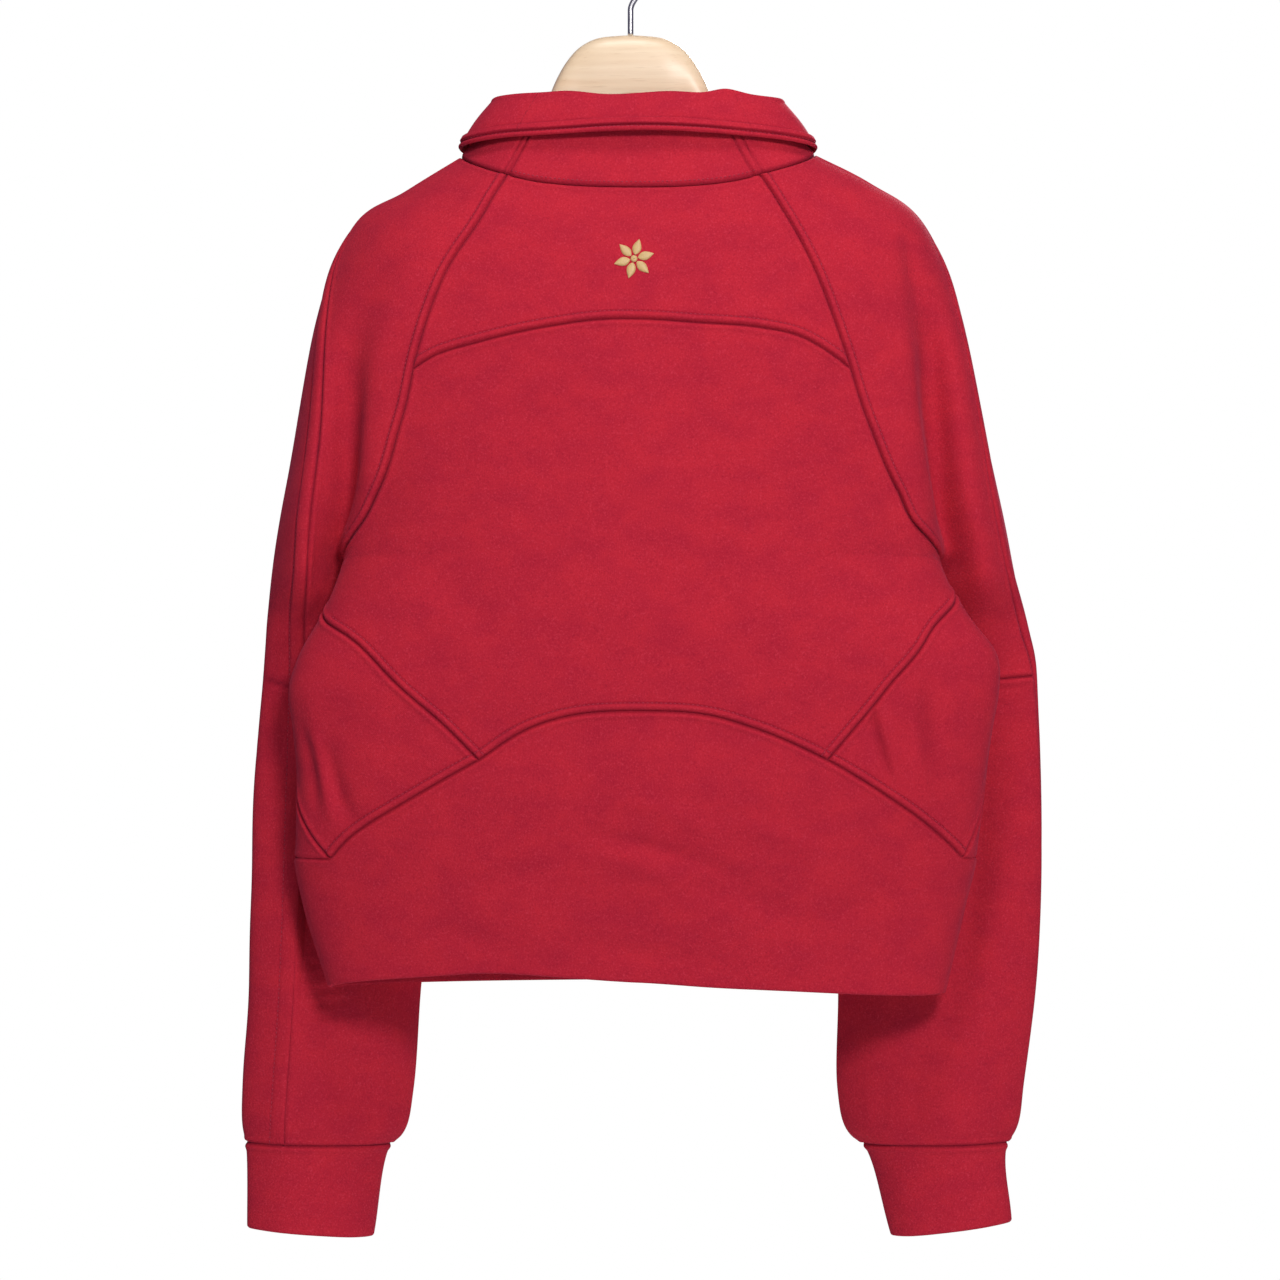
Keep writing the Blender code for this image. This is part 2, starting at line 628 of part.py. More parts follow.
def trimmed(grid, normal, own, closed):
    """Shift of the border points into the piece, square to the border on both sides of every point."""
    shift = np.zeros_like(grid)
    first = {}
    last = {}
    for axis in (0, 1):
        if axis == 1 and closed:
            continue
        for end in (0, -1):
            line = np.take(grid, end, axis)
            inside = np.take(grid, 1 if end == 0 else -2, axis)
            facing = np.take(normal, end, axis)
            plain = np.take(own, end, axis)
            run = unit(np.diff(line, axis=0))
            into = inside - line
            ahead = np.where(np.abs((facing[1:] * run).sum(-1, keepdims=True)) > 0.6, plain[1:], facing[1:])
            behind = np.where(np.abs((facing[:-1] * run).sum(-1, keepdims=True)) > 0.6, plain[:-1], facing[:-1])
            before = np.cross(ahead, run)
            after = np.cross(behind, run)
            sign = np.sign(((into[1:] + into[:-1]) * (before + after)).sum(-1, keepdims=True))
            before = unit(before) * sign
            after = unit(after) * sign
            if closed:
                before = np.concatenate([before[-1:], before])
                after = np.concatenate([after, after[:1]])
            else:
                before = np.concatenate([after[:1], before])
                after = np.concatenate([after, before[-1:]])
            first[axis, end] = after[0]
            last[axis, end] = before[-1]
            both = meet(before, after)
            if axis == 0:
                shift[end, :] = both
            else:
                shift[:, end] = both
    if not closed:
        for i in (0, -1):
            for j in (0, -1):
                one = (first if j == 0 else last)[0, i]
                two = (first if i == 0 else last)[1, j]
                shift[i, j] = meet(one, two)
    return shift


def make(name, vertices, faces, kind, x=0.0):
    mesh = bpy.data.meshes.new(name)
    mesh.from_pydata(((np.asarray(vertices) + np.array([x, 0, 0])) * MM).tolist(), [], faces)
    mesh.update()
    made = bpy.data.objects.new(name, mesh)
    for face in mesh.polygons:
        face.use_smooth = True
    finish(made, kind)
    return made


def finish(made, kind):
    material = bpy.data.materials.new(made.name + "_" + kind)
    material.use_nodes = True
    shader = material.node_tree.nodes["Principled BSDF"]
    shader.inputs["Base Color"].default_value = COLOURS[kind]
    shader.inputs["Roughness"].default_value = {"steel": 0.3, "wood": 0.5}.get(kind, 0.9)
    shader.inputs["Metallic"].default_value = 1.0 if kind == "steel" else 0.0
    made.data.materials.append(material)
    collection.objects.link(made)


def triangles(index, points):
    """Two triangles for every cell of an index grid, cut along the cell's shorter diagonal."""
    a, b, c, d = [cell.reshape(-1) for cell in (index[:-1, :-1], index[1:, :-1], index[1:, 1:], index[:-1, 1:])]
    falling = np.linalg.norm(points[a] - points[c], axis=-1)
    rising = np.linalg.norm(points[b] - points[d], axis=-1)
    swap = (falling > rising + 0.001)[:, None]
    one = np.where(swap, np.stack([a, b, d], -1), np.stack([a, b, c], -1))
    two = np.where(swap, np.stack([b, c, d], -1), np.stack([a, c, d], -1))
    return np.concatenate([one, two])


def wall(name, grid, seam_normal, normal, thick, kind, closed):
    """Cloth wall: the outside is the grid, the inside lies one wall deeper, rims close the borders."""
    shift = trimmed(grid, seam_normal, normal, closed)
    outer = grid + shift
    inner = grid - thick * normal + shift
    if closed:
        outer = outer[:, :-1]
        inner = inner[:, :-1]
    rows, columns = outer.shape[:2]
    count = rows * columns
    index = np.arange(count).reshape(rows, columns)
    if closed:
        index = np.concatenate([index, index[:, :1]], 1)
    outside = triangles(index, outer.reshape(-1, 3))
    faces = np.concatenate([outside, outside[:, ::-1] + count]).tolist()
    rank = np.round(grid[:, :columns].reshape(-1, 3), 2).tolist()
    borders = [index[0], index[-1][::-1]]
    if not closed:
        borders += [index[:, 0][::-1], index[:, -1]]
    for line in borders:
        faces += rim(line.tolist(), count, rank)
    vertices = np.concatenate([outer.reshape(-1, 3), inner.reshape(-1, 3)])
    make(name, vertices, faces, kind, GARMENT_X)


def rim(line, count, rank):
    """Rim triangles; the diagonal starts at the same end of a seam in both pieces that meet there."""
    faces = []
    for one, two in zip(line[:-1], line[1:]):
        if rank[one] < rank[two]:
            faces += [[one, two, two + count], [one, two + count, one + count]]
        else:
            faces += [[one, two, one + count], [two, two + count, one + count]]
    return faces


def collar_ring(ring, angle):
    """Closed ring of the collar at plan angles; 0 is the centre back and half a turn the centre front."""
    half, back_y, front_y, back_z, side_z, front_z = ring
    power = 2 / 2.3
    cosine = np.cos(angle)
    sine = np.sin(angle)
    x = np.sign(sine) * half * np.abs(sine) ** power
    y = np.where(cosine > 0, back_y, front_y) * np.abs(cosine) ** power
    z = side_z + np.where(cosine > 0, back_z - side_z, front_z - side_z) * np.abs(cosine) ** 1.5
    return np.stack([x, y, z], -1)


def collar(base, pieces):
    """Folded collar over the closed neckline; each piece covers the run between two neckline points."""
    angle = np.arctan2(base[:, 0] / 123, -base[:, 1] / 43)
    fold = collar_ring(COLLAR_FOLD, angle)
    edge = collar_ring(COLLAR_EDGE, angle)
    foot = base + np.array([0, 0, SEAM_GAP + 0.15])
    outward = edge - fold
    outward[:, 2] = 0
    outward = unit(outward)
    r = COLLAR_FOLD_RADIUS
    stand_top = fold - np.array([0, 0, r])
    fall_top = stand_top + 2 * r * outward
    line = np.stack([
        foot, foot + 0.45 * (stand_top - foot), stand_top - 0.03 * (stand_top - foot),
        fold + r * outward, fall_top + 0.03 * (edge - fall_top), edge + 0.5 * (fall_top - edge) + 0.8 * outward,
        edge], 1)
    along_line = unit(np.gradient(line, axis=1))
    tangent = unit(np.roll(base, -1, 0) - np.roll(base, 1, 0))[:, None]
    side = unit(np.cross(np.broadcast_to(tangent, along_line.shape), along_line))
    half = RIB_WALL / 2
    loop = np.concatenate([line + half * side, (line - half * side)[:, ::-1]], 1)
    for name, first, last in pieces:
        run = np.arange(first, last + 1) % len(base)
        part = loop[run].copy()
        part[0] += SEAM_GAP / 2 * tangent[run[0]]
        part[-1] -= SEAM_GAP / 2 * tangent[run[-1]]
        rows, columns = part.shape[:2]
        index = np.arange(rows * columns).reshape(rows, columns)
        wrap = np.concatenate([index, index[:, :1]], 1)
        faces = triangles(wrap, part.reshape(-1, 3)).tolist()
        for row, forward in ((index[0], False), (index[-1], True)):
            for i in range(columns // 2 - 1):
                quad = [int(row[k]) for k in (i, i + 1, columns - 2 - i, columns - 1 - i)]
                faces.append(quad[::-1] if forward else quad)
        make(name, part.reshape(-1, 3), faces, "rib", GARMENT_X)


def hanger_wood():
    """Wooden body of the hanger, lofted from end to end."""
    rows = list(HANGER)
    rows += [(-x, top, low, half, y) for x, top, low, half, y in reversed(HANGER)]
    angle = np.arange(SECTION_POINTS) * 2 * math.pi / SECTION_POINTS
    grid = []
    for x, top, low, half, y in rows:
        middle = (top + low) / 2
        power = 2 / 2.6
        across_y = y + half * np.sign(np.cos(angle)) * np.abs(np.cos(angle)) ** power
        height = middle + (top - low) / 2 * np.sign(np.sin(angle)) * np.abs(np.sin(angle)) ** power
        grid.append(np.stack([np.full_like(angle, x), across_y, height], -1))
    grid = np.array(grid)
    rows, columns = grid.shape[:2]
    index = np.arange(rows * columns).reshape(rows, columns)
    wrap = np.concatenate([index, index[:, :1]], 1)
    faces = triangles(wrap, grid.reshape(-1, 3))[:, ::-1].tolist()
    faces.append([int(v) for v in index[0]][::-1])
    faces.append([int(v) for v in index[-1]])
    make("hanger_wood", grid.reshape(-1, 3), faces, "wood")


def hanger_hook():
    """Steel wire hook: a straight shank that swings into a round hook."""
    radius = HOOK_INNER_RADIUS + HOOK_WIRE / 2
    join = math.radians(-58)
    points = [(0.0, HOOK_FOOT), (0.0, -62.0), (0.0, -56.0), (0.0, -50.0)]
    start = np.array([0.0, -50.0])
    goal = np.array([radius * math.cos(join), -HOOK_INNER_RADIUS + radius * math.sin(join)])
    leave = np.array([0.0, 1.0]) * 16
    reach = np.array([-math.sin(join), math.cos(join)]) * 16
    for t in np.linspace(0, 1, 6)[1:-1]:
        spot = start * (1 + 2 * t) * (1 - t) ** 2 + leave * t * (1 - t) ** 2
        spot = spot + goal * t * t * (3 - 2 * t) + reach * t * t * (t - 1)
        points.append(tuple(spot))
    for angle in np.radians(np.linspace(-58, 205, 25)):
        points.append((radius * math.cos(angle), -HOOK_INNER_RADIUS + radius * math.sin(angle)))
    curve = bpy.data.curves.new("hanger_hook", "CURVE")
    curve.dimensions = "3D"
    curve.bevel_depth = HOOK_WIRE / 2 * MM
    curve.bevel_resolution = 2
    curve.use_fill_caps = True
    line = curve.splines.new("POLY")
    line.points.add(len(points) - 1)
    for spot, (x, z) in zip(line.points, points):
        spot.co = (x * MM, 0.0, z * MM, 1.0)
    made = bpy.data.objects.new("hanger_hook", curve)
    finish(made, "steel")


for old in list(bpy.data.objects):
    bpy.data.objects.remove(old)
collection = bpy.data.collections.new(OBJECT_NAME)
bpy.context.scene.collection.children.link(collection)

panels = flat_panels()
panels.update(sleeve_panels())
grids = {name: pair[0] for name, pair in panels.items()}
rings = ("cuff_left", "cuff_right")
at_seams, through_walls = shared_normals(grids, {name: pair[1] for name, pair in panels.items()})
for piece, points in grids.items():
    band = piece.startswith(("cuff", "waistband"))
    wall(piece, points, at_seams[piece], through_walls[piece], RIB_WALL if band else WALL,
         "rib" if band else "cloth", piece in rings)

neck_back = grids["back_yoke"][0]
neck_front = grids["front_panel"][0]
neck_right = np.concatenate([grids["sleeve_back_upper_right"][0], grids["sleeve_front_right"][0][1:]])
neck_left = np.concatenate([grids["sleeve_front_left"][0], grids["sleeve_back_upper_left"][0][1:]])
neck = np.concatenate([neck_back, neck_right[1:], neck_front[1:], neck_left[1:-1]])
collar(neck, (("collar_back", 0, ACROSS), ("collar_front", ACROSS, len(neck))))
hanger_wood()
hanger_hook()
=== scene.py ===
import bpy
import math
import numpy as np
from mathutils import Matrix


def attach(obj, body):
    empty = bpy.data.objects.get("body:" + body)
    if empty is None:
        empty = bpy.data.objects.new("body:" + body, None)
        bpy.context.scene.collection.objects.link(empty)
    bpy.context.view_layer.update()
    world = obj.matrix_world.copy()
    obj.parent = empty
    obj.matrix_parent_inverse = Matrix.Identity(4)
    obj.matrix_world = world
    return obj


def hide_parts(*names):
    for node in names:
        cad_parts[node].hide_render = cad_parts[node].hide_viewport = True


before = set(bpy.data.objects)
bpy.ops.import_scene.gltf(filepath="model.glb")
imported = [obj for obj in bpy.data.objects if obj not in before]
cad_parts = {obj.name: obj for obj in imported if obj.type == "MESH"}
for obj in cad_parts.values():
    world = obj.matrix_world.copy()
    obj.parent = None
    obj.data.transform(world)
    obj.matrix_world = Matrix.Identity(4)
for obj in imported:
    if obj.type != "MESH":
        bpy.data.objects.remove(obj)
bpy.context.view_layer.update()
mm = 0.001

# The garment's cut and how it hangs, in millimetres, as in the frame's own solids
garment = {
    "shiftX": 5.2,                  # the garment hangs a little to the right of the hook
    "wall": 2.0,                    # fleece
    "bandWall": 2.4,                # waistband, cuffs and collar
    "goreWall": 3.0,                # thick enough to keep the sharp creases off the inner face
    "backPower": 2.4,               # roundness of the back half
    "frontFlat": 1.25,              # flatness of the front half towards the sides
    "yokeEnd": 3.3,                 # stations down the sleeve, from 0 at the neck
    "underarm": 6.0,
    "elbow": 8.0,
    "wrist": 13.0,
    "cuffEnd": 14.0,
    "neckBack": (-178.5, 9.5),      # height at the centre and rise towards the raglan seams
    "neckFront": (-200.0, 18.0),
    "waist": -643.0,
    "frontHem": -732.0,
}
shift = np.array([garment["shiftX"], 0, 0])

# Body sections: height, half width left, half width right, side line y, centre back y, centre front y
bodySections = (
    (-140, 100, 103, 0, -37, 35),
    (-153, 123, 126, 0, -40, 37),
    (-165, 144, 150, 2, -43, 39),
    (-177, 164, 170, 5, -45.5, 41),
    (-188, 184, 186, 7, -49, 43),
    (-200, 199, 200, 9, -53, 45),
    (-215, 208, 209, 9, -57, 48),
    (-230, 212, 213, 8, -60, 50),
    (-265, 216, 217, 5, -65, 54),
    (-300, 215, 217, 2, -68, 56),
    (-340, 210, 214, -2, -70, 57),
    (-400, 201, 209, -8, -71, 58),
    (-440, 207, 212, -12, -71, 58),
    (-475, 221, 231, -17, -71, 57),
    (-500, 235, 249, -20, -70, 56),
    (-526, 243, 250.5, -20, -69, 55),
    (-550, 240, 246, -18, -67, 53),
    (-590, 237, 241.5, -12, -64, 51),
    (-617, 240, 239.5, -6, -60, 49),
    (-643, 240, 236.5, -2, -56, 47),
    (-673, 234.5, 229.5, 0, -51, 45),
    (-740, 214, 214, 0, -42, 40),
)

# Raglan seams: station; at the back height and way round left and right; at the front height and way round
raglanSeams = (
    (0.0, -169, 0.362, 0.310, -182, 1.707),
    (1.0, -200, 0.319, 0.297, -212, 1.680),
    (2.0, -240, 0.384, 0.342, -250, 1.615),
    (3.0, -290, 0.453, 0.407, -298, 1.555),
    (4.0, -340, 0.528, 0.487, -345, 1.489),
    (5.0, -390, 0.677, 0.626, -392, 1.389),
    (5.5, -415, 0.813, 0.740, -416, 1.328),
    (5.8, -431, 1.010, 0.960, -431, 1.280),
    (6.0, -440, 1.240, 1.240, -440, 1.240),
)

# Sleeve outline, left and right: station, height, x and y of the outermost line
outerLeft = (
    (0, -153, 123, 0), (1, -177, 163, 5), (2, -200, 199, 11), (2.5, -229, 214.5, 13),
    (3, -265.6, 225, 14), (4, -336, 238.6, 14), (5, -400.7, 251.3, 15), (6, -441.5, 257.8, 18),
    (7, -484, 262.4, 24), (8, -520, 266.4, 27), (9, -597, 274, 34), (10, -669, 276.5, 38),
    (11, -737, 278, 40), (12, -806, 282.3, 42), (12.7, -838, 282.5, 43), (13, -848, 280, 43),
    (14, -908.3, 278.5, 40),
)
outerRight = (
    (0, -151.5, 123, 0), (1, -171.5, 163, 5), (2, -199, 199.6, 11), (2.5, -229, 215.3, 13),
    (3, -264.2, 226, 14), (4, -333.2, 242, 14), (5, -400.7, 257, 15), (6, -441.5, 265.5, 18),
    (7, -484, 275, 24), (8, -516, 281.5, 27), (9, -597, 286, 34), (10, -669, 286.5, 38),
    (11, -737, 283, 40), (12, -806, 274.5, 42), (12.7, -838, 269.7, 43), (13, -848, 264, 43),
    (14, -904, 266.3, 40),
)

# Inner line of the sleeve's tube: station, height, x left, x right, y
innerLine = (
    (7, -486, 180, 180, 54), (8, -530, 165, 163, 64), (9, -600, 148, 146, 67),
    (10, -671, 149, 141, 65), (11, -740, 156, 143.8, 62), (12, -812, 161, 143, 59),
    (12.7, -843, 168, 150.8, 57), (13, -850.5, 175.8, 160, 56), (14, -916, 188.3, 180.3, 50),
)

# Half depth of the tube: station, towards the back, towards the front
tubeDepth = (
    (7, 28, 33), (8, 24, 28), (9, 25, 27), (10, 26, 28), (11, 27, 27),
    (12, 26, 26), (12.7, 25, 25), (13, 22, 22), (14, 19, 19),
)

# Sleeve back over the shoulder: station, valley x and y, bulge x and y, ridge, front bulge
shoulderLeft = (
    (0, 105, -30, 117, -17, 1, 13), (1, 131, -38, 152, -22, 2, 16), (2, 165, -42, 187, -22, 3, 18),
    (3, 191, -38, 208, -33, 4, 23), (4, 198, -31, 216, -33, 6, 31), (5, 201, -19, 226, -31, 8, 44),
    (6, 214, 3.5, 230, -22, 0, 54),
)
shoulderRight = (
    (0, 105, -30, 117, -17, 1, 13), (1, 131, -38, 152, -22, 2, 16), (2, 178, -37, 192, -22, 4, 18),
    (3, 198, -26, 212, -23, 9, 23), (4, 203, -19, 224, -23, 11, 31), (5, 208, -9, 231, -22, 10, 44),
    (6, 217, 5, 238, -18, 0, 54),
)

# Share of the way round the sleeve where the overarm seam runs: station, left, right
overarmSeam = (
    (0, 0.500, 0.500), (2, 0.490, 0.490), (3, 0.404, 0.438), (4, 0.382, 0.436),
    (5, 0.368, 0.440), (7, 0.365, 0.465), (9, 0.362, 0.500), (14, 0.352, 0.510),
)

# Seams on the body: way round (0 centre back, 1 side, 2 centre front) and height
yokeSeam = (
    (-1.00, -305), (-0.88, -297), (-0.62, -287), (-0.30, -276.5), (-0.08, -271.5),
    (0.21, -274), (0.48, -277), (0.69, -283), (0.86, -294), (1.00, -305),
)
archSeam = (
    (-1.00, -573), (-0.61, -551), (-0.28, -541.3), (0.00, -539.3),
    (0.25, -541.3), (0.56, -552.3), (1.00, -573),
)
hemLine = (
    (-1.00, -734.5), (-0.44, -724), (-0.24, -721), (-0.12, -723.5), (0.00, -727),
    (0.09, -730), (0.30, -733.8), (0.61, -737.6), (1.00, -738),
)
goreSeam = {
    -1: ((1.150, -462), (0.930, -473.4), (0.560, -497.6), (0.430, -522.4), (0.336, -546.5), (0.257, -573)),
    1: ((1.140, -452), (0.920, -461.3), (0.581, -488.8), (0.456, -516.4), (0.385, -544), (0.312, -573)),
}
archEnd = {
    -1: ((0.257, -573), (0.438, -604), (0.610, -631), (0.665, -642)),
    1: ((0.312, -573), (0.499, -604), (0.671, -628.8), (0.780, -642)),
}
sideSeam = {
    -1: ((1.240, -440), (1.150, -462), (1.060, -530), (0.990, -590), (0.820, -617), (0.665, -642)),
    1: ((1.240, -440), (1.140, -452), (1.050, -530), (1.000, -590), (0.910, -613), (0.780, -642)),
}
raglanSteps = np.concatenate([
    np.linspace(0, garment["yokeEnd"], 7), [3.8, 4.3, 4.75, 5.1, 5.4, 5.62, 5.8, 5.91, 6.0]])

# Steps down the edge of a body piece: where the side and the gore's seam begin, and how many the pieces take
sideStart, goreStart = 15, 17
yokeSteps, backSteps, frontSteps = 6, 17, 29


# Cubic curve between two ends at f from 0 to 1: the start weighs (1 + 2f)(1 - f) squared, the end f squared
# (3 - 2f), and their slopes times the length weigh f(1 - f) squared and f squared (f - 1)
def cubic(f, length, start, startSlope, end, endSlope):
    near = start * (1 + 2 * f) * (1 - f) ** 2 + startSlope * length * f * (1 - f) ** 2
    return near + end * f * f * (3 - 2 * f) + endSlope * length * f * f * (f - 1)


# Cubic curve through the values at the knots; the slope at a knot is that of the parabola through three knots
def smooth(t, knots, values):
    knots = np.asarray(knots, float)
    values = np.asarray(values, float)
    t = np.asarray(t, float)
    step = np.diff(knots)
    wide = step.reshape((-1,) + (1,) * (values.ndim - 1))
    rise = np.diff(values, axis=0) / wide
    slope = np.empty_like(values)
    slope[0] = rise[0]
    slope[-1] = rise[-1]
    slope[1:-1] = (wide[1:] * rise[:-1] + wide[:-1] * rise[1:]) / (wide[1:] + wide[:-1])
    k = np.clip(np.searchsorted(knots, t, side="right") - 1, 0, len(step) - 1)
    f = np.clip((t - knots[k]) / step[k], 0, 1)
    f = f.reshape(f.shape + (1,) * (values.ndim - 1))
    return cubic(f, step[k].reshape(f.shape), values[k], slope[k], values[k + 1], slope[k + 1])


# Numbered columns of a table read at a key, by the cubic curve above
def column(table, key, *numbers):
    rows = np.array(table, float)
    order = np.argsort(rows[:, 0])
    return smooth(key, rows[order, 0], rows[order][:, list(numbers)])


# The same columns as separate arrays
def columnsOf(table, key, *numbers):
    return np.moveaxis(column(table, key, *numbers), -1, 0)


# Rises from 0 to 1 with level ends: t squared times (3 - 2t)
def ease(t):
    t = np.clip(t, 0, 1)
    return t * t * (3 - 2 * t)


# Vectors divided by their length
def unit(vector):
    return vector / np.maximum(np.linalg.norm(vector, axis=-1, keepdims=True), 1e-9)


# Plan vector turned a quarter towards the back
def turn(vector):
    return np.stack([vector[..., 1], -vector[..., 0]], -1)


# Bell curve: e to the power of minus the square of distance over width
def bell(distance, width):
    return np.exp(-(distance / width) ** 2)


# Distance run so far along a line of points, or along every row of a grid
def runOf(points):
    lengths = np.linalg.norm(np.diff(points, axis=-2), axis=-1)
    return np.concatenate([np.zeros(lengths.shape[:-1] + (1,)), np.cumsum(lengths, -1)], -1)


# Points at wanted places along a line, by straight lines between its own points
def atPlaces(wanted, run, points):
    return np.stack([np.interp(wanted, run, points[:, k]) for k in range(3)], -1)


# Body surface: at each height a rounded oval, x from a power of the sine and y from a power of the cosine
def bodyPoint(way, height):
    way = np.asarray(way, float)
    height = np.broadcast_to(np.asarray(height, float), way.shape)
    left, right, sideY, backY, frontY = columnsOf(bodySections, height, 1, 2, 3, 4, 5)
    angle = np.abs(way) * math.pi / 2
    front = np.abs(way) > 1
    half = np.where(way < 0, left, right)
    backShape = 2 / garment["backPower"]
    x = np.sign(way) * half * np.abs(np.sin(angle)) ** np.where(front, garment["frontFlat"], backShape)
    depth = np.where(front, frontY - sideY, backY - sideY)
    y = sideY + depth * np.abs(np.cos(angle)) ** np.where(front, 1.0, backShape)
    return np.stack([x, y, height], -1)


# The same for a grid whose last axis holds way round and height
def onBody(grid):
    return bodyPoint(grid[..., 0], grid[..., 1])


# Way round and height of a raglan seam at a station; side is -1 left, 1 right
def raglan(side, station, front):
    numbers = (4, 5) if front else (1, 2 if side < 0 else 3)
    height, way = columnsOf(raglanSeams, station, *numbers)
    return np.stack([side * way, height], -1)


# Where the sleeve's guide points lie, and how the cloth leaves and reaches its seams
sleeveShape = {
    "crest": 0.65,                  # share of the way from the back seam to the valley
    "frontOut": (0.28, 0.95),       # shares of the way from the outer line to the front seam, of the bulge
    "frontIn": (0.70, 0.80),
    "tube": ((0.13, 0.68, 0), (0.42, 1.0, 0), (0.78, 0.84, 0), (0.77, -0.84, 1), (0.30, -0.94, 1)),
    "knots": (0, 0.14, 0.24, 0.37, 0.5, 0.66, 0.82, 1.0),
    "leave": (0.85, -0.5),          # plan directions at the underarm
    "reach": (-0.35, -0.94),
    "loose": (3.5, 2.5),            # station where the cloth starts to turn to them, and over how many
}


# Sleeve surface: each row is a cubic curve through eight points, from the back seam round to the front seam
def sleevePoint(side, stations, shares):
    look = sleeveShape
    stations = np.asarray(stations, float)
    outline = outerLeft if side < 0 else outerRight
    shoulder = shoulderLeft if side < 0 else shoulderRight
    underarm = garment["underarm"]
    upper = np.minimum(stations, underarm)
    flip = np.array([side, 1, 1])
    innerX = 2 if side < 0 else 3

    out = column(outline, stations, 2, 3, 1)
    backSeam, frontSeam = raglan(side, upper, False), raglan(side, upper, True)
    seamBack, seamFront = onBody(backSeam) * flip, onBody(frontSeam) * flip
    pit = onBody(np.array([sideSeam[side][0]]) * [side, 1])[0] * flip
    innerRows = [(underarm, pit[2], pit[0], pit[0], pit[1])] + list(innerLine)
    inner = column(innerRows, np.maximum(stations, underarm), innerX, 4, 1)
    below = (stations > underarm)[:, None]
    start = np.where(below, inner, seamBack)
    end = np.where(below, inner, seamFront)

    # over the shoulder the guide points are a crest, a valley, a bulge and two points of the front
    valley = column(shoulder, upper, 1, 2)
    bulge = column(shoulder, upper, 3, 4)
    ridge, belly = columnsOf(shoulder, upper, 5, 6)
    startUp = np.where(below, pit, seamBack)[:, :2]
    endUp = np.where(below, pit, seamFront)[:, :2]
    outUp = column(outline, upper, 2, 3)
    crest = startUp + look["crest"] * (valley - startUp) + ridge[:, None] * turn(unit(valley - startUp))
    toFront = -turn(unit(outUp - endUp))
    fronts = [outUp + share * (endUp - outUp) + part * belly[:, None] * toFront
              for share, part in (look["frontOut"], look["frontIn"])]
    guideUp = np.stack([crest, valley, bulge] + fronts, 1)

    # further down they are shares of the chord from the inner to the outer line, moved out by the half depth
    low = np.maximum(stations, innerLine[0][0])
    depths = column(tubeDepth, low, 1, 2)
    innerLow = column(innerLine, low, innerX, 4)
    chord = column(outline, low, 2, 3) - innerLow
    toBack = turn(unit(chord))
    guideLow = np.stack([innerLow + share * chord + (part * depths[:, half])[:, None] * toBack
                         for share, part, half in look["tube"]], 1)
    mix = ease(stations - underarm)[:, None, None]
    guide = guideUp * (1 - mix) + guideLow * mix

    def level(points, seam):        # height by how far a point lies from the seam towards the outer line
        run = out[:, None, :2] - seam[:, None, :2]
        share = ((points - seam[:, None, :2]) * run).sum(-1) / (run * run).sum(-1)
        share = np.clip(share, 0, 1)[..., None]
        height = seam[:, None, 2:] + share * (out[:, None, 2:] - seam[:, None, 2:])
        return np.concatenate([points, height], -1)

    points = np.concatenate([start[:, None], level(guide[:, :3], start), out[:, None],
                             level(guide[:, 3:], end), end[:, None]], 1)
    onward = np.array([side * 0.01, 0])         # a short way on round the body
    leaveBody = unit((onBody(backSeam + onward) * flip - seamBack)[:, :2])
    reachBody = unit((onBody(frontSeam + onward) * flip - seamFront)[:, :2])
    firstLoose, looseOver = look["loose"]
    loose = ease((stations - firstLoose) / looseOver)[:, None]
    closed = ease(stations - underarm)[:, None]
    leave = (1 - closed) * np.array(look["leave"]) + closed * toBack
    reach = (1 - closed) * np.array(look["reach"]) + closed * toBack
    leave = unit((1 - loose) * leaveBody + loose * leave)
    reach = unit((1 - loose) * reachBody + loose * reach)

    length = np.linalg.norm(np.diff(points, axis=1), axis=-1)
    rise = np.diff(points, axis=1) / length[..., None]
    slope = np.empty_like(points)
    weight = length[:, 1:, None] / (length[:, 1:, None] + length[:, :-1, None])
    slope[:, 1:-1] = weight * rise[:, :-1] + (1 - weight) * rise[:, 1:]
    slope[:, 0] = np.concatenate([leave, rise[:, 0, 2:]], -1)
    slope[:, -1] = np.concatenate([reach, rise[:, -1, 2:]], -1)
    knots = np.array(look["knots"])
    k = np.clip(np.searchsorted(knots, shares, side="right") - 1, 0, len(knots) - 2)
    f = ((shares - knots[k]) / (knots[k + 1] - knots[k]))[..., None]
    row = np.arange(len(stations))[:, None]
    return flip * cubic(f, length[row, k][..., None], points[row, k], slope[row, k],
                        points[row, k + 1], slope[row, k + 1])


# Points at shares of a seam given by way round and height, spaced by its rough length
def along(points, share, side):
    points = np.array(points, float)
    rough = np.hypot(np.diff(points[:, 0]) * 200, np.diff(points[:, 1]))    # about 200 mm for a unit of way
    knots = np.concatenate([[0], np.cumsum(rough)])
    return smooth(np.asarray(share) * knots[-1], knots, points) * np.array([side, 1])


# Side edge of a body piece by steps: raglan seam, two steps of side seam, then the side's rest or the gore's
def edge(side, step, front, last):
    station = np.interp(step, np.arange(len(raglanSteps)), raglanSteps)
    top = raglan(side, station, front)
    short = along(sideSeam[side][:2], np.clip((step - sideStart) / 2, 0, 1), side)
    long = along(last, np.clip((step - goreStart) / (12 if front else 6), 0, 1), side)
    return np.where(step[:, None] <= sideStart, top, np.where(step[:, None] <= goreStart, short, long))


# Both side edges of a back piece
def backEdges(step):
    return [edge(side, step, False, goreSeam[side]) for side in (-1, 1)]


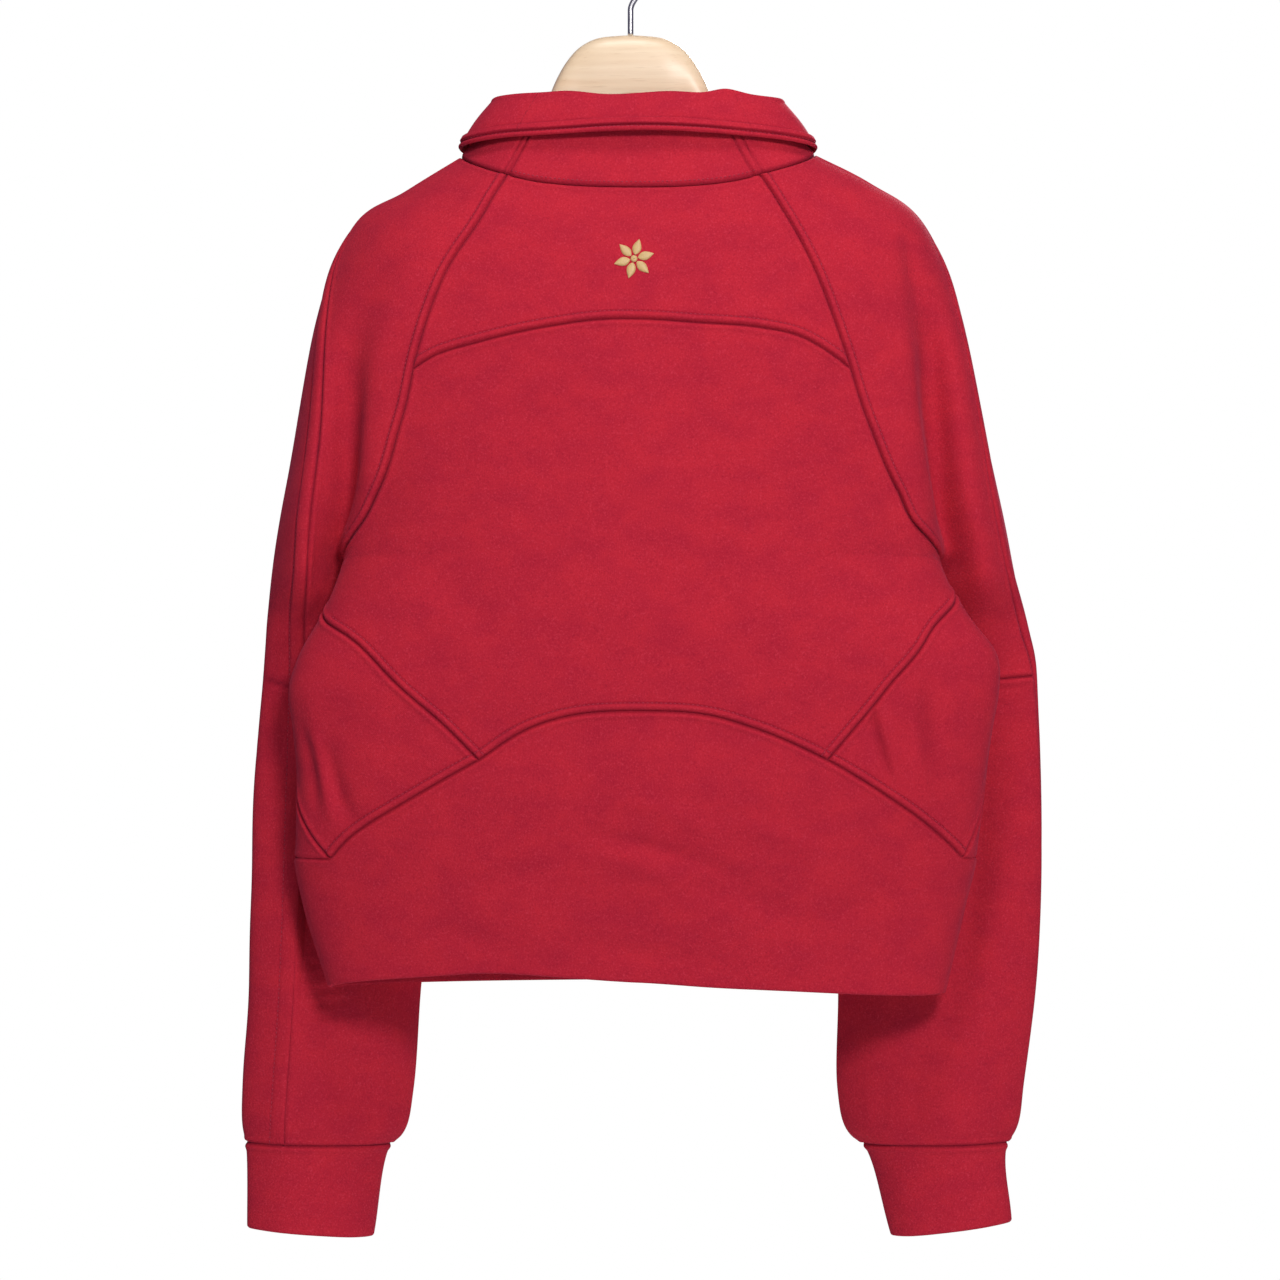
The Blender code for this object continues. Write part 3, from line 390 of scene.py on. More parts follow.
# Patch between four seams: straight lines across plus the bends of top and bottom, which fade by a power
def patch(top, bottom, left, right, u, v, fade=1):
    u = u[None, :, None]
    v = v[:, None, None]
    topBend = top[None] - (1 - u) * top[0] - u * top[-1]
    bottomBend = bottom[None] - (1 - u) * bottom[0] - u * bottom[-1]
    return (1 - u) * left[:, None] + u * right[:, None] + (1 - v) ** fade * topBend + v ** fade * bottomBend


# Seam across the body between two ends: its height read from a table at the share of each half
def acrossBody(table, ends, u):
    way = ends[0] + (ends[1] - ends[0]) * u
    share = np.where(way < 0, way / abs(ends[0]), way / abs(ends[1]))
    return np.stack([way, column(table, share, 1)[:, 0]], -1)


# Ways round below 0 raised by 4, so that they run on over the front
def unroll(points):
    return points + np.where(points[..., :1] < 0, [4, 0], 0)


# Ways round above 2 lowered by 4 again
def roll(points):
    return points - np.where(points[..., :1] > 2, [4, 0], 0)


# Top edge of the back waistband by steps: side to 3, arch end to 9, arch to 29, arch end to 35, side to 38
def waistTop(step):
    step = np.asarray(step, float)
    parts = []
    for side in (-1, 1):
        corner = np.array([side * archEnd[side][-1][0], archEnd[side][-1][1]])
        outerEnd = np.array([side, garment["waist"]])
        reach = np.clip((3 - step if side < 0 else step - 35) / 3, 0, 1)[:, None]
        parts.append(corner + reach * (outerEnd - corner))
        share = np.clip((9 - step if side < 0 else step - 29) / 6, 0, 1)
        parts.append(along(archEnd[side], share, side))
    middle = acrossBody(archSeam, (-archEnd[-1][0][0], archEnd[1][0][0]), np.clip((step - 9) / 20, 0, 1))
    step = step[:, None]
    return np.where(step < 3, parts[0], np.where(step < 9, parts[1], np.where(
        step < 29, middle, np.where(step < 35, parts[3], parts[2]))))


# Neck edge of the yoke: it rises with the square of the share of each half
def yokeTop(u):
    ends = [raglan(side, np.zeros(1), False)[0, 0] for side in (-1, 1)]
    way = ends[0] + (ends[1] - ends[0]) * u
    share = np.where(way < 0, way / ends[0], way / ends[1])
    centre, rise = garment["neckBack"]
    return np.stack([way, centre + rise * share ** 2], -1)


# The body's pieces are patches of ways and heights between their seams, set on the body surface
def yokeSurface(v, u):
    left, right = backEdges(yokeSteps * v)
    seam = acrossBody(yokeSeam, (left[-1, 0], right[-1, 0]), u)
    return onBody(patch(yokeTop(u), seam, left, right, u, v))


# Back panel: yoke seam, raglan and gore seams, arch
def backSurface(v, u):
    left, right = backEdges(yokeSteps + backSteps * v)
    top = acrossBody(yokeSeam, (left[0, 0], right[0, 0]), u)
    bottom = acrossBody(archSeam, (left[-1, 0], right[-1, 0]), u)
    return onBody(patch(top, bottom, left, right, u, v, 3))


# Gore: upper and lower half of the side seam, the arch's end and the diagonal seam
def goreSurface(side):
    def surface(v, u):
        def sideLine(share):
            return along(sideSeam[side][1:], share, side)
        diagonal, low = along(goreSeam[side], v, side), sideLine(0.5 + 0.5 * v)
        if side < 0:
            grid = patch(sideLine(0.5 - 0.5 * u), along(archEnd[side], 1 - u, side), low, diagonal, u, v)
        else:
            grid = patch(sideLine(0.5 * u), along(archEnd[side], u, side), diagonal, low, u, v)
        return onBody(grid)
    return surface


# Back waistband: straight down from its top edge to the hem line
def waistSurface(v, u):
    top = waistTop(38 * u)
    low = np.stack([top[:, 0], column(hemLine, top[:, 0], 1)[:, 0]], -1)
    return onBody(top[None] + v[:, None, None] * (low - top)[None])


# Front waistband: straight down from the waist to a hem that bends with the square of the way from the centre
def frontWaistSurface(v, u):
    way = 1 + 2 * u
    end = np.where(way < 2, hemLine[-1][1], hemLine[0][1])
    hem = garment["frontHem"] + (end - garment["frontHem"]) * (way - 2) ** 2
    height = garment["waist"] + v[:, None] * (hem - garment["waist"])[None]
    return onBody(roll(np.stack([np.broadcast_to(way, height.shape), height], -1)))


# Front panel: neck edge with the square of the way from the centre, raglan and side seams, waist
def frontSurface(v, u):
    right, left = [unroll(edge(side, frontSteps * v, True, sideSeam[side][1:])) for side in (1, -1)]
    step = 24 * u
    front = np.stack([1 + np.clip((step - 3) / 18, 0, 1) * 2, np.full_like(u, garment["waist"])], -1)
    waistRight, waistLeft = unroll(waistTop(35 + step)), unroll(waistTop(step - 21))
    bottom = np.where(step[:, None] < 3, waistRight, np.where(step[:, None] > 21, waistLeft, front))
    centre, rise = garment["neckFront"]
    neck = np.stack([right[0, 0] + (left[0, 0] - right[0, 0]) * u, centre + rise * (2 * u - 1) ** 2], -1)
    return onBody(roll(patch(neck, bottom, right, left, u, v, 3)))


# Sleeve piece between two stations: the back part runs up to the overarm seam, the front part on from it
def sleeveSurface(side, first, last, part):
    def surface(v, u):
        stations = first + (last - first) * v
        seam = column(overarmSeam, stations, 1 if side < 0 else 2)
        t = u if side > 0 else 1 - u
        zero = 0 * seam
        start, wide = {"back": (zero, seam), "front": (seam, 1 - seam), "whole": (zero, zero + 1)}[part]
        return sleevePoint(side, stations, start + wide * t[None, :])
    return surface


# Distances of the grid lines from a border, by what the border is; close together where its shape is fine
nearSeam = np.array([0, 0.45, 0.9, 1.4, 2.0, 2.8, 3.8, 4.6, 5.2, 5.7, 6.2, 6.8, 7.8, 9.2, 10.8])
nearBand = np.array([0, 0.45, 0.9, 1.4, 2.0, 2.8, 4.0, 5.5, 7.2, 8.8, 9.7, 10.2, 10.7, 11.3, 12.4])
nearBorder = {"plain": nearSeam, "welt": nearSeam, "wide": nearBand, "free": nearSeam[:8]}


# Distances along every line of a grid: the near steps at both ends and even steps between; cells in threes
def steps(lengths, step, start, end):
    cellCount = max(int(math.ceil((lengths.max() - start[-1] - end[-1]) / step)), 3)
    while (cellCount + len(start) + len(end) - 2) % 3:
        cellCount += 1
    scale = np.minimum(1, lengths / (1.35 * (start[-1] + end[-1]) + 1e-9))[:, None]
    first, last = start[None] * scale, lengths[:, None] - end[::-1][None] * scale
    middle = first[:, -1:] + (last[:, :1] - first[:, -1:]) * np.arange(1, cellCount)[None] / cellCount
    return np.concatenate([first, middle, last], 1)


# Moves the columns of a grid to wanted distances along its rows, by straight lines between its points
def respace(grid, step, start, end):
    run = runOf(grid)
    wanted = steps(run[:, -1], step, start, end)
    return np.array([atPlaces(wanted[i], run[i], grid[i]) for i in range(len(grid))])


# Surface as a grid with real step sizes both ways; a piece without left and right borders is closed all round
def sampled(surface, spec):
    near = {border: nearBorder[kind[0]] for border, kind in spec["borders"].items()}
    single = np.array([0.0])
    grid = surface(np.linspace(0, 1, 260), np.linspace(0, 1, 420))
    grid = respace(grid, spec["step"], near.get("left", single), near.get("right", single))
    return np.swapaxes(respace(np.swapaxes(grid, 0, 1), spec["step"], near["top"], near["bottom"]), 0, 1)


# Outward directions: the cross product of the differences down the rows and across the columns
def normalsOf(grid, closed=False):
    wide = np.concatenate([grid[:, -2:-1], grid, grid[:, 1:2]], 1) if closed else grid
    normal = unit(np.cross(np.gradient(wide, axis=0), np.gradient(wide, axis=1)))
    return normal[:, 1:-1] if closed else normal


# A quarter of each neighbour and half of the middle one
def blended(before, middle, after):
    return 0.25 * before + 0.5 * middle + 0.25 * after


# Softens a grid: every inner point is blended with its neighbours down and then across, many times
def soften(grid, times, closed=False):
    for _ in range(times):
        grid = grid.copy()
        grid[1:-1] = blended(grid[:-2], grid[1:-1], grid[2:])
        if closed:
            ring = grid[:, :-1]
            ring = blended(np.roll(ring, 1, 1), ring, np.roll(ring, -1, 1))
            grid = np.concatenate([ring, ring[:, :1]], 1)
        else:
            grid[:, 1:-1] = blended(grid[:, :-2], grid[:, 1:-1], grid[:, 2:])
    return grid


# Distance of every point of a grid to one of its borders, looked for within a share of the grid only
def borderDistance(grid, border, window=0.3):
    line = {"top": grid[0], "bottom": grid[-1], "left": grid[:, 0], "right": grid[:, -1]}[border]
    place = np.linspace(0, 1, 4 * len(line))
    line = atPlaces(place, np.linspace(0, 1, len(line)), line)
    rows, columns = grid.shape[:2]
    distance = np.full((rows, columns), 1e3)
    where = np.zeros((rows, columns))
    down = max(int(rows * window), 12)
    over = max(int(columns * window), 12)
    cut = {"top": (slice(0, down), slice(None)), "bottom": (slice(-down, None), slice(None)),
           "left": (slice(None), slice(0, over)), "right": (slice(None), slice(-over, None))}[border]
    points = grid[cut].reshape(-1, 3)
    near = np.empty(len(points))
    spot = np.empty(len(points))
    for first in range(0, len(points), 4000):       # in parts, to spare memory
        part = points[first:first + 4000]
        gap = ((part[:, None] - line[None]) ** 2).sum(-1)
        best = gap.argmin(1)
        near[first:first + 4000] = np.sqrt(gap[np.arange(len(part)), best])
        spot[first:first + 4000] = place[best]
    distance[cut] = near.reshape(grid[cut].shape[:2])
    where[cut] = spot.reshape(grid[cut].shape[:2])
    return distance, where


seamLook = {
    "groove": 1.2, "grooveWide": 1.15,              # the seam itself
    "roll": 0.7, "rollAt": 3.0, "rollWide": 1.9,    # soft roll beside a plain seam
    "width": 5.6, "bandWidth": 10.6,                # from the seam to the topstitching
    "raise": 1.5, "dip": 1.25, "dipWide": 0.75,
    "edgeRadius": 2.2,                              # of a folded hem or cuff
    "fadeBy": 0.7,                                  # what a faded stretch of seam loses
    "turnWide": 1.8,                                # width over which a border takes the shared direction
}


# Height of the cloth beside a plain seam: a soft roll behind the groove
def plainSeam(d):
    return seamLook["roll"] * bell(d - seamLook["rollAt"], seamLook["rollWide"])


# Height of a topstitched seam: a rounded band between the seam and the stitches, and a narrow dip under them
def weltSeam(d, width):
    band = seamLook["raise"] * np.sin(math.pi * np.clip(d / (width + 1.2), 0, 1)) ** 0.7
    return band - seamLook["dip"] * bell(d - width, seamLook["dipWide"])


# Rounded free edge: a quarter circle down to the edge
def foldedEdge(d, radius):
    inside = np.clip(radius - d, 0, radius)
    return -(radius - np.sqrt(radius ** 2 - inside ** 2))


# 1 between two shares and 0 outside them, with a soft step at both
def between(share, low, high, soft):
    return ease((share - low) / soft + 0.5) * ease((high - share) / soft + 0.5)


# Creases: bent lines in x and z, each with a width and a height, a bell across and fading at both ends
def creaseHeight(points, creases):
    height = np.zeros(points.shape[:-1])
    flat = points[..., [0, 2]].reshape(-1, 2)
    for x0, z0, x1, z1, bend, width, rise in creases:
        start, end = np.array([x0, z0], float), np.array([x1, z1], float)
        run = end - start
        length = np.hypot(*run)
        t = np.linspace(0, 1, 28)
        side = np.array([-run[1], run[0]]) / length
        line = start + t[:, None] * run + (4 * t * (1 - t) * bend)[:, None] * side
        gap = ((flat[:, None] - line[None]) ** 2).sum(-1)
        best = gap.argmin(1)
        fade = np.sin(math.pi * np.clip(t[best], 0.02, 0.98)) ** 0.7
        height += (rise * fade * np.exp(-gap.min(1) / width ** 2)).reshape(height.shape)
    return height


# Soft unevenness of hanging fleece: products of slow waves across and down
def softWaves(points, size):
    x, z = points[..., 0], points[..., 2]
    first = np.sin(x / 27 + 1.7 * np.sin(z / 61)) * np.sin(z / 33 + 1.3 * np.sin(x / 52) + 0.8)
    second = np.sin(x / 14.5 + z / 41 + 2.1) * np.sin(z / 19 - x / 57 + 0.4)
    return size * (first + 0.45 * second)


print("surfaces defined")


# Wraps a shader socket, so that sums, differences and products of values add their own Math nodes
class Value:
    def __init__(self, maker, socket):
        self.maker = maker
        self.socket = socket

    def combine(self, operation, other, swapped=False):
        pair = [self, other]
        if swapped:
            pair.reverse()
        return self.maker.node("ShaderNodeMath", {"operation": operation}, {0: pair[0], 1: pair[1]})

    def __add__(self, other):
        return self.combine("ADD", other)

    def __radd__(self, other):
        return self.combine("ADD", other, True)

    def __sub__(self, other):
        return self.combine("SUBTRACT", other)

    def __rsub__(self, other):
        return self.combine("SUBTRACT", other, True)

    def __mul__(self, other):
        return self.combine("MULTIPLY", other)

    def __rmul__(self, other):
        return self.combine("MULTIPLY", other, True)


# One material; node() takes a node's type, its settings and its sockets, and gives back a socket to use
class Finish:
    def __init__(self, name, roughness, **constants):
        self.material = bpy.data.materials.new(name)
        self.material.use_nodes = True
        self.tree = self.material.node_tree
        self.shader = self.tree.nodes["Principled BSDF"]
        self.shader.inputs["Roughness"].default_value = roughness
        for socket, value in constants.items():
            self.shader.inputs[socket.replace("_", " ")].default_value = value

    def node(self, kind, settings=None, sockets=None, output=0):
        made = self.tree.nodes.new(kind)
        for name, value in (settings or {}).items():
            if name == "stops":
                ramp = made.color_ramp
                for place, colour in value[1:-1]:
                    ramp.elements.new(place)
                for element, (place, colour) in zip(ramp.elements, value):
                    element.position = place
                    element.color = colour
            else:
                setattr(made, name, value)
        for name, value in (sockets or {}).items():
            if isinstance(value, Value):
                self.tree.links.new(value.socket, made.inputs[name])
            else:
                made.inputs[name].default_value = value
        return Value(self, made.outputs[output])

    def link(self, value, name):
        self.tree.links.new(value.socket, self.shader.inputs[name])

    def place(self):
        return self.node("ShaderNodeTexCoord", output="Object")

    def clothMap(self):
        return self.node("ShaderNodeUVMap", {"uv_map": "cloth"})

    def mapped(self, vector, scale, turned=(0, 0, 0)):
        return self.node("ShaderNodeMapping", None, {"Vector": vector, "Scale": scale, "Rotation": turned})

    def noise(self, vector, scale, detail=2.0, roughness=0.5, distortion=0.0):
        return self.node("ShaderNodeTexNoise", None, {
            "Vector": vector, "Scale": scale, "Detail": detail, "Roughness": roughness,
            "Distortion": distortion})

    def spanned(self, value, low, high, first=0.0, last=1.0):
        return self.node("ShaderNodeMapRange", None, {0: value, 1: low, 2: high, 3: first, 4: last})

    def blendColours(self, factor, one, two, kind="MIX"):
        return self.node("ShaderNodeMix", {"data_type": "RGBA", "blend_type": kind},
                         {0: factor, 6: one, 7: two}, output=2)

    def bump(self, height, strength, distance):
        return self.node("ShaderNodeBump", None, {
            "Height": height, "Strength": strength, "Distance": distance})


fleeceLook = {
    "light": (0.520, 0.0205, 0.0385, 1.0),
    "dark": (0.445, 0.0165, 0.0375, 1.0),
    "fleck": (0.66, 0.050, 0.085, 1.0),
    "pit": (0.31, 0.010, 0.028, 1.0),
    # crease: colour of the painted shade in seam grooves, stitch dips and narrow creases
    "crease": (0.15, 0.005, 0.020, 1.0),
    "sheen": (1.0, 0.30, 0.55, 1.0),
    "threads": 950.0,       # knit stitches per metre across
}


# Brushed fleece: soft clouds and fine flecks in the colour, painted shade darkening the seam grooves, stitch
# dips and narrow creases, nap and knit in the bump
def fleece(name):
    look = fleeceLook
    made = Finish(name, 0.88, Sheen_Weight=0.09, Sheen_Roughness=0.45, Sheen_Tint=look["sheen"],
                  Specular_IOR_Level=0.06)
    place = made.place()
    cloud = made.noise(made.mapped(place, (34, 34, 52)), 1.0, 3.0, 0.6)
    grain = made.noise(place, 760.0, 2.0, 0.7)
    fibre = made.noise(made.mapped(place, (1500, 1500, 620)), 1.0, 2.0, 0.6)
    base = made.blendColours(made.spanned(cloud, 0.34, 0.66), look["dark"], look["light"])
    base = made.blendColours(made.spanned(grain, 0.54, 0.78, 0.0, 0.62), base, look["fleck"])
    base = made.blendColours(made.spanned(grain, 0.46, 0.24, 0.0, 0.62), base, look["pit"])
    # painted shade: the colour is mixed towards the crease colour where grooves and creases lie
    paintedShadeByPoint = made.node("ShaderNodeAttribute", {"attribute_name": "paintedShade"}, output="Fac")
    base = made.blendColours(0.55 * paintedShadeByPoint, base, look["crease"])
    made.link(base, "Base Color")
    made.link(0.80 + 0.16 * fibre, "Roughness")
    knit = made.node("ShaderNodeTexWave", {"wave_type": "BANDS", "bands_direction": "X"}, {
        "Vector": made.mapped(made.clothMap(), (look["threads"], look["threads"] * 0.8, 1)),
        "Scale": 0.32, "Distortion": 1.4, "Detail": 1.0, "Detail Scale": 2.2}, output=1)
    made.link(made.bump(0.6 * grain + 0.28 * fibre + 0.12 * knit, 0.7, 0.0006), "Normal")
    return made.material


# Sewing thread: two reds mixed by a fine noise, which also gives the bump
def threadFinish():
    made = Finish("sewingThread", 0.6, Sheen_Weight=0.2, Sheen_Roughness=0.4, Sheen_Tint=fleeceLook["sheen"],
                  Specular_IOR_Level=0.4)
    twist = made.noise(made.place(), 900.0, 2.0, 0.5)
    made.link(made.blendColours(twist, (0.30, 0.010, 0.032, 1), (0.47, 0.020, 0.052, 1)), "Base Color")
    made.link(made.bump(twist, 0.4, 0.0002), "Normal")
    return made.material


woodLook = {"pale": (0.84, 0.68, 0.47, 1), "warm": (0.76, 0.57, 0.36, 1), "line": (0.55, 0.36, 0.20, 1)}


# Lacquered beech: noise stretched along the grain, faint growth rings from a wave, and pores of fine noise
def hangerWood():
    made = Finish("beechWood", 0.42, Coat_Weight=0.25, Coat_Roughness=0.28, Specular_IOR_Level=0.45)
    place = made.place()
    wander = made.noise(made.mapped(place, (1.6, 26.0, 26.0)), 3.2, 5.0, 0.62, 0.5)
    ring = made.node("ShaderNodeTexWave", {"wave_type": "BANDS", "bands_direction": "Z"}, {
        "Vector": made.mapped(place, (5.0, 60.0, 130.0)), "Scale": 0.42, "Distortion": 4.5, "Detail": 3.0,
        "Detail Scale": 1.3}, output=1)
    pores = made.noise(made.mapped(place, (60.0, 900.0, 900.0)), 1.0, 2.0, 0.6)
    base = made.blendColours(made.spanned(wander, 0.3, 0.72), woodLook["pale"], woodLook["warm"])
    base = made.blendColours(ring * 0.09, base, woodLook["line"])
    fleck = made.spanned(pores, 0.60, 0.78, 0.0, 0.5)
    made.link(made.blendColours(fleck, base, woodLook["line"]), "Base Color")
    made.link(0.34 + 0.2 * wander, "Roughness")
    made.link(made.bump(pores, 0.18, 0.0003), "Normal")
    return made.material


# Steel wire: noise stretched along its length sets colour, roughness and bump
def hookSteel():
    made = Finish("wireSteel", 0.26, Metallic=1.0)
    scuff = made.noise(made.mapped(made.place(), (700, 700, 160)), 1.0, 3.0, 0.6)
    made.link(made.blendColours(scuff, (0.52, 0.52, 0.53, 1), (0.74, 0.74, 0.75, 1)), "Base Color")
    made.link(0.18 + 0.22 * scuff, "Roughness")
    made.link(made.bump(scuff, 0.12, 0.0001), "Normal")
    return made.material


bodyFleece = fleece("fleece")
thread = threadFinish()
print("finishes made")


# Makes a piece from points in millimetres, cloth map and painted shade of grooves and creases, attaches it to
# the root body and hides the frame's parts that it stands for
def meshPiece(name, points, faces, material, nodes=(), uv=None, paintedShadeByPoint=None):
    mesh = bpy.data.meshes.new(name)
    mesh.from_pydata((points * mm).tolist(), [], faces)
    mesh.polygons.foreach_set("use_smooth", np.ones(len(mesh.polygons), bool))
    if uv is not None:
        layer = mesh.uv_layers.new(name="cloth")
        corner = np.empty(len(mesh.loops), np.int32)
        mesh.loops.foreach_get("vertex_index", corner)
        layer.data.foreach_set("uv", uv[corner].astype(np.float32).ravel())
    if paintedShadeByPoint is not None:
        mesh.attributes.new("paintedShade", "FLOAT", "POINT").data.foreach_set("value", paintedShadeByPoint.astype(np.float32))
    mesh.update()
    piece = bpy.data.objects.new(name, mesh)
    bpy.context.scene.collection.objects.link(piece)
    mesh.materials.append(material)
    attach(piece, "root")
    if nodes:
        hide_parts(*nodes)
    return piece


# Quads between the rows and columns of an index grid, in one turning sense or the other
def cells(index, turned=False):
    a, b, c, d = index[:-1, :-1], index[1:, :-1], index[1:, 1:], index[:-1, 1:]
    return np.stack([a, d, c, b] if turned else [a, b, c, d], -1).reshape(-1, 4)


# Index grid whose rows close to rings: the first column stands once more at the end
def ringed(index):
    return np.concatenate([index, index[:, :1]], 1)


# Numbers of the points of a grid, row by row
def indexOf(shape, first=0):
    return first + np.arange(shape[0] * shape[1]).reshape(shape[:2])


# Closed bar from a row of rings: quads round them and one face at each end
def capped(grid):
    index = indexOf(grid.shape)
    faces = cells(ringed(index), True).tolist() + [index[0][::-1].tolist(), index[-1].tolist()]
    return grid.reshape(-1, 3), faces


# Closes an outer and a coarser inner grid into one wall; three outer cells stand against one inner cell
def closedWall(outer, inner, closed):
    if closed:
        outer, inner = outer[:, :-1], inner[:, :-1]
    outerIndex = indexOf(outer.shape)
    innerIndex = indexOf(inner.shape, outerIndex.size)
    if closed:
        outerIndex, innerIndex = ringed(outerIndex), ringed(innerIndex)
    faces = cells(outerIndex).tolist() + cells(innerIndex)[:, ::-1].tolist()
    borders = [(outerIndex[0], innerIndex[0]), (outerIndex[-1][::-1], innerIndex[-1][::-1])]
    if not closed:
        borders += [(outerIndex[:, 0][::-1], innerIndex[:, 0][::-1]), (outerIndex[:, -1], innerIndex[:, -1])]
    for line, deep in borders:
        a, b, c, d = line[0:-1:3], line[1::3], line[2::3], line[3::3]
        near, far = deep[:-1], deep[1:]
        for trio in ((a, b, near), (b, c, near), (c, far, near), (c, d, far)):
            faces += np.stack(trio, -1).tolist()
    return np.concatenate([outer.reshape(-1, 3), inner.reshape(-1, 3)]), faces


stitchLines = []


# Points of a grid where the distance to a border passes a value, one on each line across that border
def lineAt(grid, normal, distance, border, value, keep):
    if border in ("top", "bottom"):
        grid, normal, distance, keep = (np.swapaxes(a, 0, 1) for a in (grid, normal, distance, keep))
    if border in ("bottom", "right"):
        grid, normal, distance, keep = (a[:, ::-1] for a in (grid, normal, distance, keep))
    after = np.argmax(distance >= value, axis=1)
    row = np.arange(len(grid))
    good = (after > 0) & keep[row, after]
    before = np.maximum(after - 1, 0)
    low, high = distance[row, before], distance[row, after]
    t = ((value - low) / np.maximum(high - low, 1e-6))[:, None]
    point = grid[row, before] * (1 - t) + grid[row, after] * t
    facing = unit(normal[row, before] * (1 - t) + normal[row, after] * t)
    return point[good], facing[good]


# Borders of a grid as one list of places
def borderPlaces(shape, closed):
    rows, columns = shape
    whole = np.arange(rows * columns).reshape(rows, columns)
    lines = [whole[0], whole[-1]] + ([] if closed else [whole[:, 0], whole[:, -1]])
    return np.unique(np.concatenate(lines))


# Creases under the narrow width also get painted shade, a darker colour along them; all of them start some
# millimetres inside the borders
creaseLook = {"narrow": 6, "narrowInset": 7.0, "wideInset": 9.0, "waveInset": 26.0, "calmTimes": 80}


# First pass over a piece: its smooth grid, then creases and waves, and the outward directions
def layOut(name, node, surface, spec):
    closed = spec.get("closed", False)
    base = soften(sampled(surface, spec), spec["soften"], closed)
    if "calm" in spec:                  # softened more round one place
        x, z, radius = spec["calm"]
        share = np.exp(-((base[..., :1] - x) ** 2 + (base[..., 2:] - z) ** 2) / radius ** 2)
        base = base + share * (soften(base, creaseLook["calmTimes"], closed) - base)
    normal = normalsOf(base, closed)
    rows, columns = base.shape[:2]
    down = np.minimum(np.arange(rows), np.arange(rows)[::-1])
    across = np.full(columns, 999) if closed else np.minimum(np.arange(columns), np.arange(columns)[::-1])
    inset = np.minimum.outer(down, across)          # grid lines between a point and the nearest border
    fine = [crease for crease in spec.get("creases", ()) if crease[5] < creaseLook["narrow"]]
    broad = [crease for crease in spec.get("creases", ()) if crease[5] >= creaseLook["narrow"]]
    narrow = creaseHeight(base, fine) * ease(inset / creaseLook["narrowInset"])
    folds = narrow + creaseHeight(base, broad) * ease(inset / creaseLook["wideInset"])
    folds = folds + softWaves(base, spec["waves"]) * ease(inset / creaseLook["waveInset"])
    shape = base + folds[..., None] * normal
    return {"name": name, "node": node, "spec": spec, "closed": closed, "base": base, "shape": shape,
            "narrow": narrow, "facing": normalsOf(shape, closed)}


# At every border point the direction shared with the pieces that meet there: the mean of their own ones
def meetAtSeams(laid):
    points, facings, owner = [], [], []
    for k, part in enumerate(laid):
        places = borderPlaces(part["base"].shape[:2], part["closed"])
        part["places"] = places
        points.append(part["base"].reshape(-1, 3)[places])
        facings.append(part["facing"].reshape(-1, 3)[places])
        owner.append(np.full(len(places), k))
    everyPoint, everyFacing, owner = np.concatenate(points), np.concatenate(facings), np.concatenate(owner)
    for k, part in enumerate(laid):
        total, number = facings[k].copy(), np.ones((len(facings[k]), 1))
        low, high = points[k].min(0) - 3, points[k].max(0) + 3
        close = ((everyPoint >= low) & (everyPoint <= high)).all(-1)
        for other in range(len(laid)):
            mask = close & (owner == other)
            if other == k or not mask.any():
                continue
            gap = ((points[k][:, None] - everyPoint[mask][None]) ** 2).sum(-1)
            weight = np.exp(-gap / 0.8) * (gap < 6.0)
            share = weight.sum(1, keepdims=True)
            mean = weight @ everyFacing[mask] / np.maximum(share, 1e-9)
            total = total + np.where(share > 1e-3, mean, 0)
            number = number + (share > 1e-3)
        shared = part["facing"].reshape(-1, 3).copy()
        shared[part["places"]] = total / number
        part["shared"] = shared.reshape(part["facing"].shape)
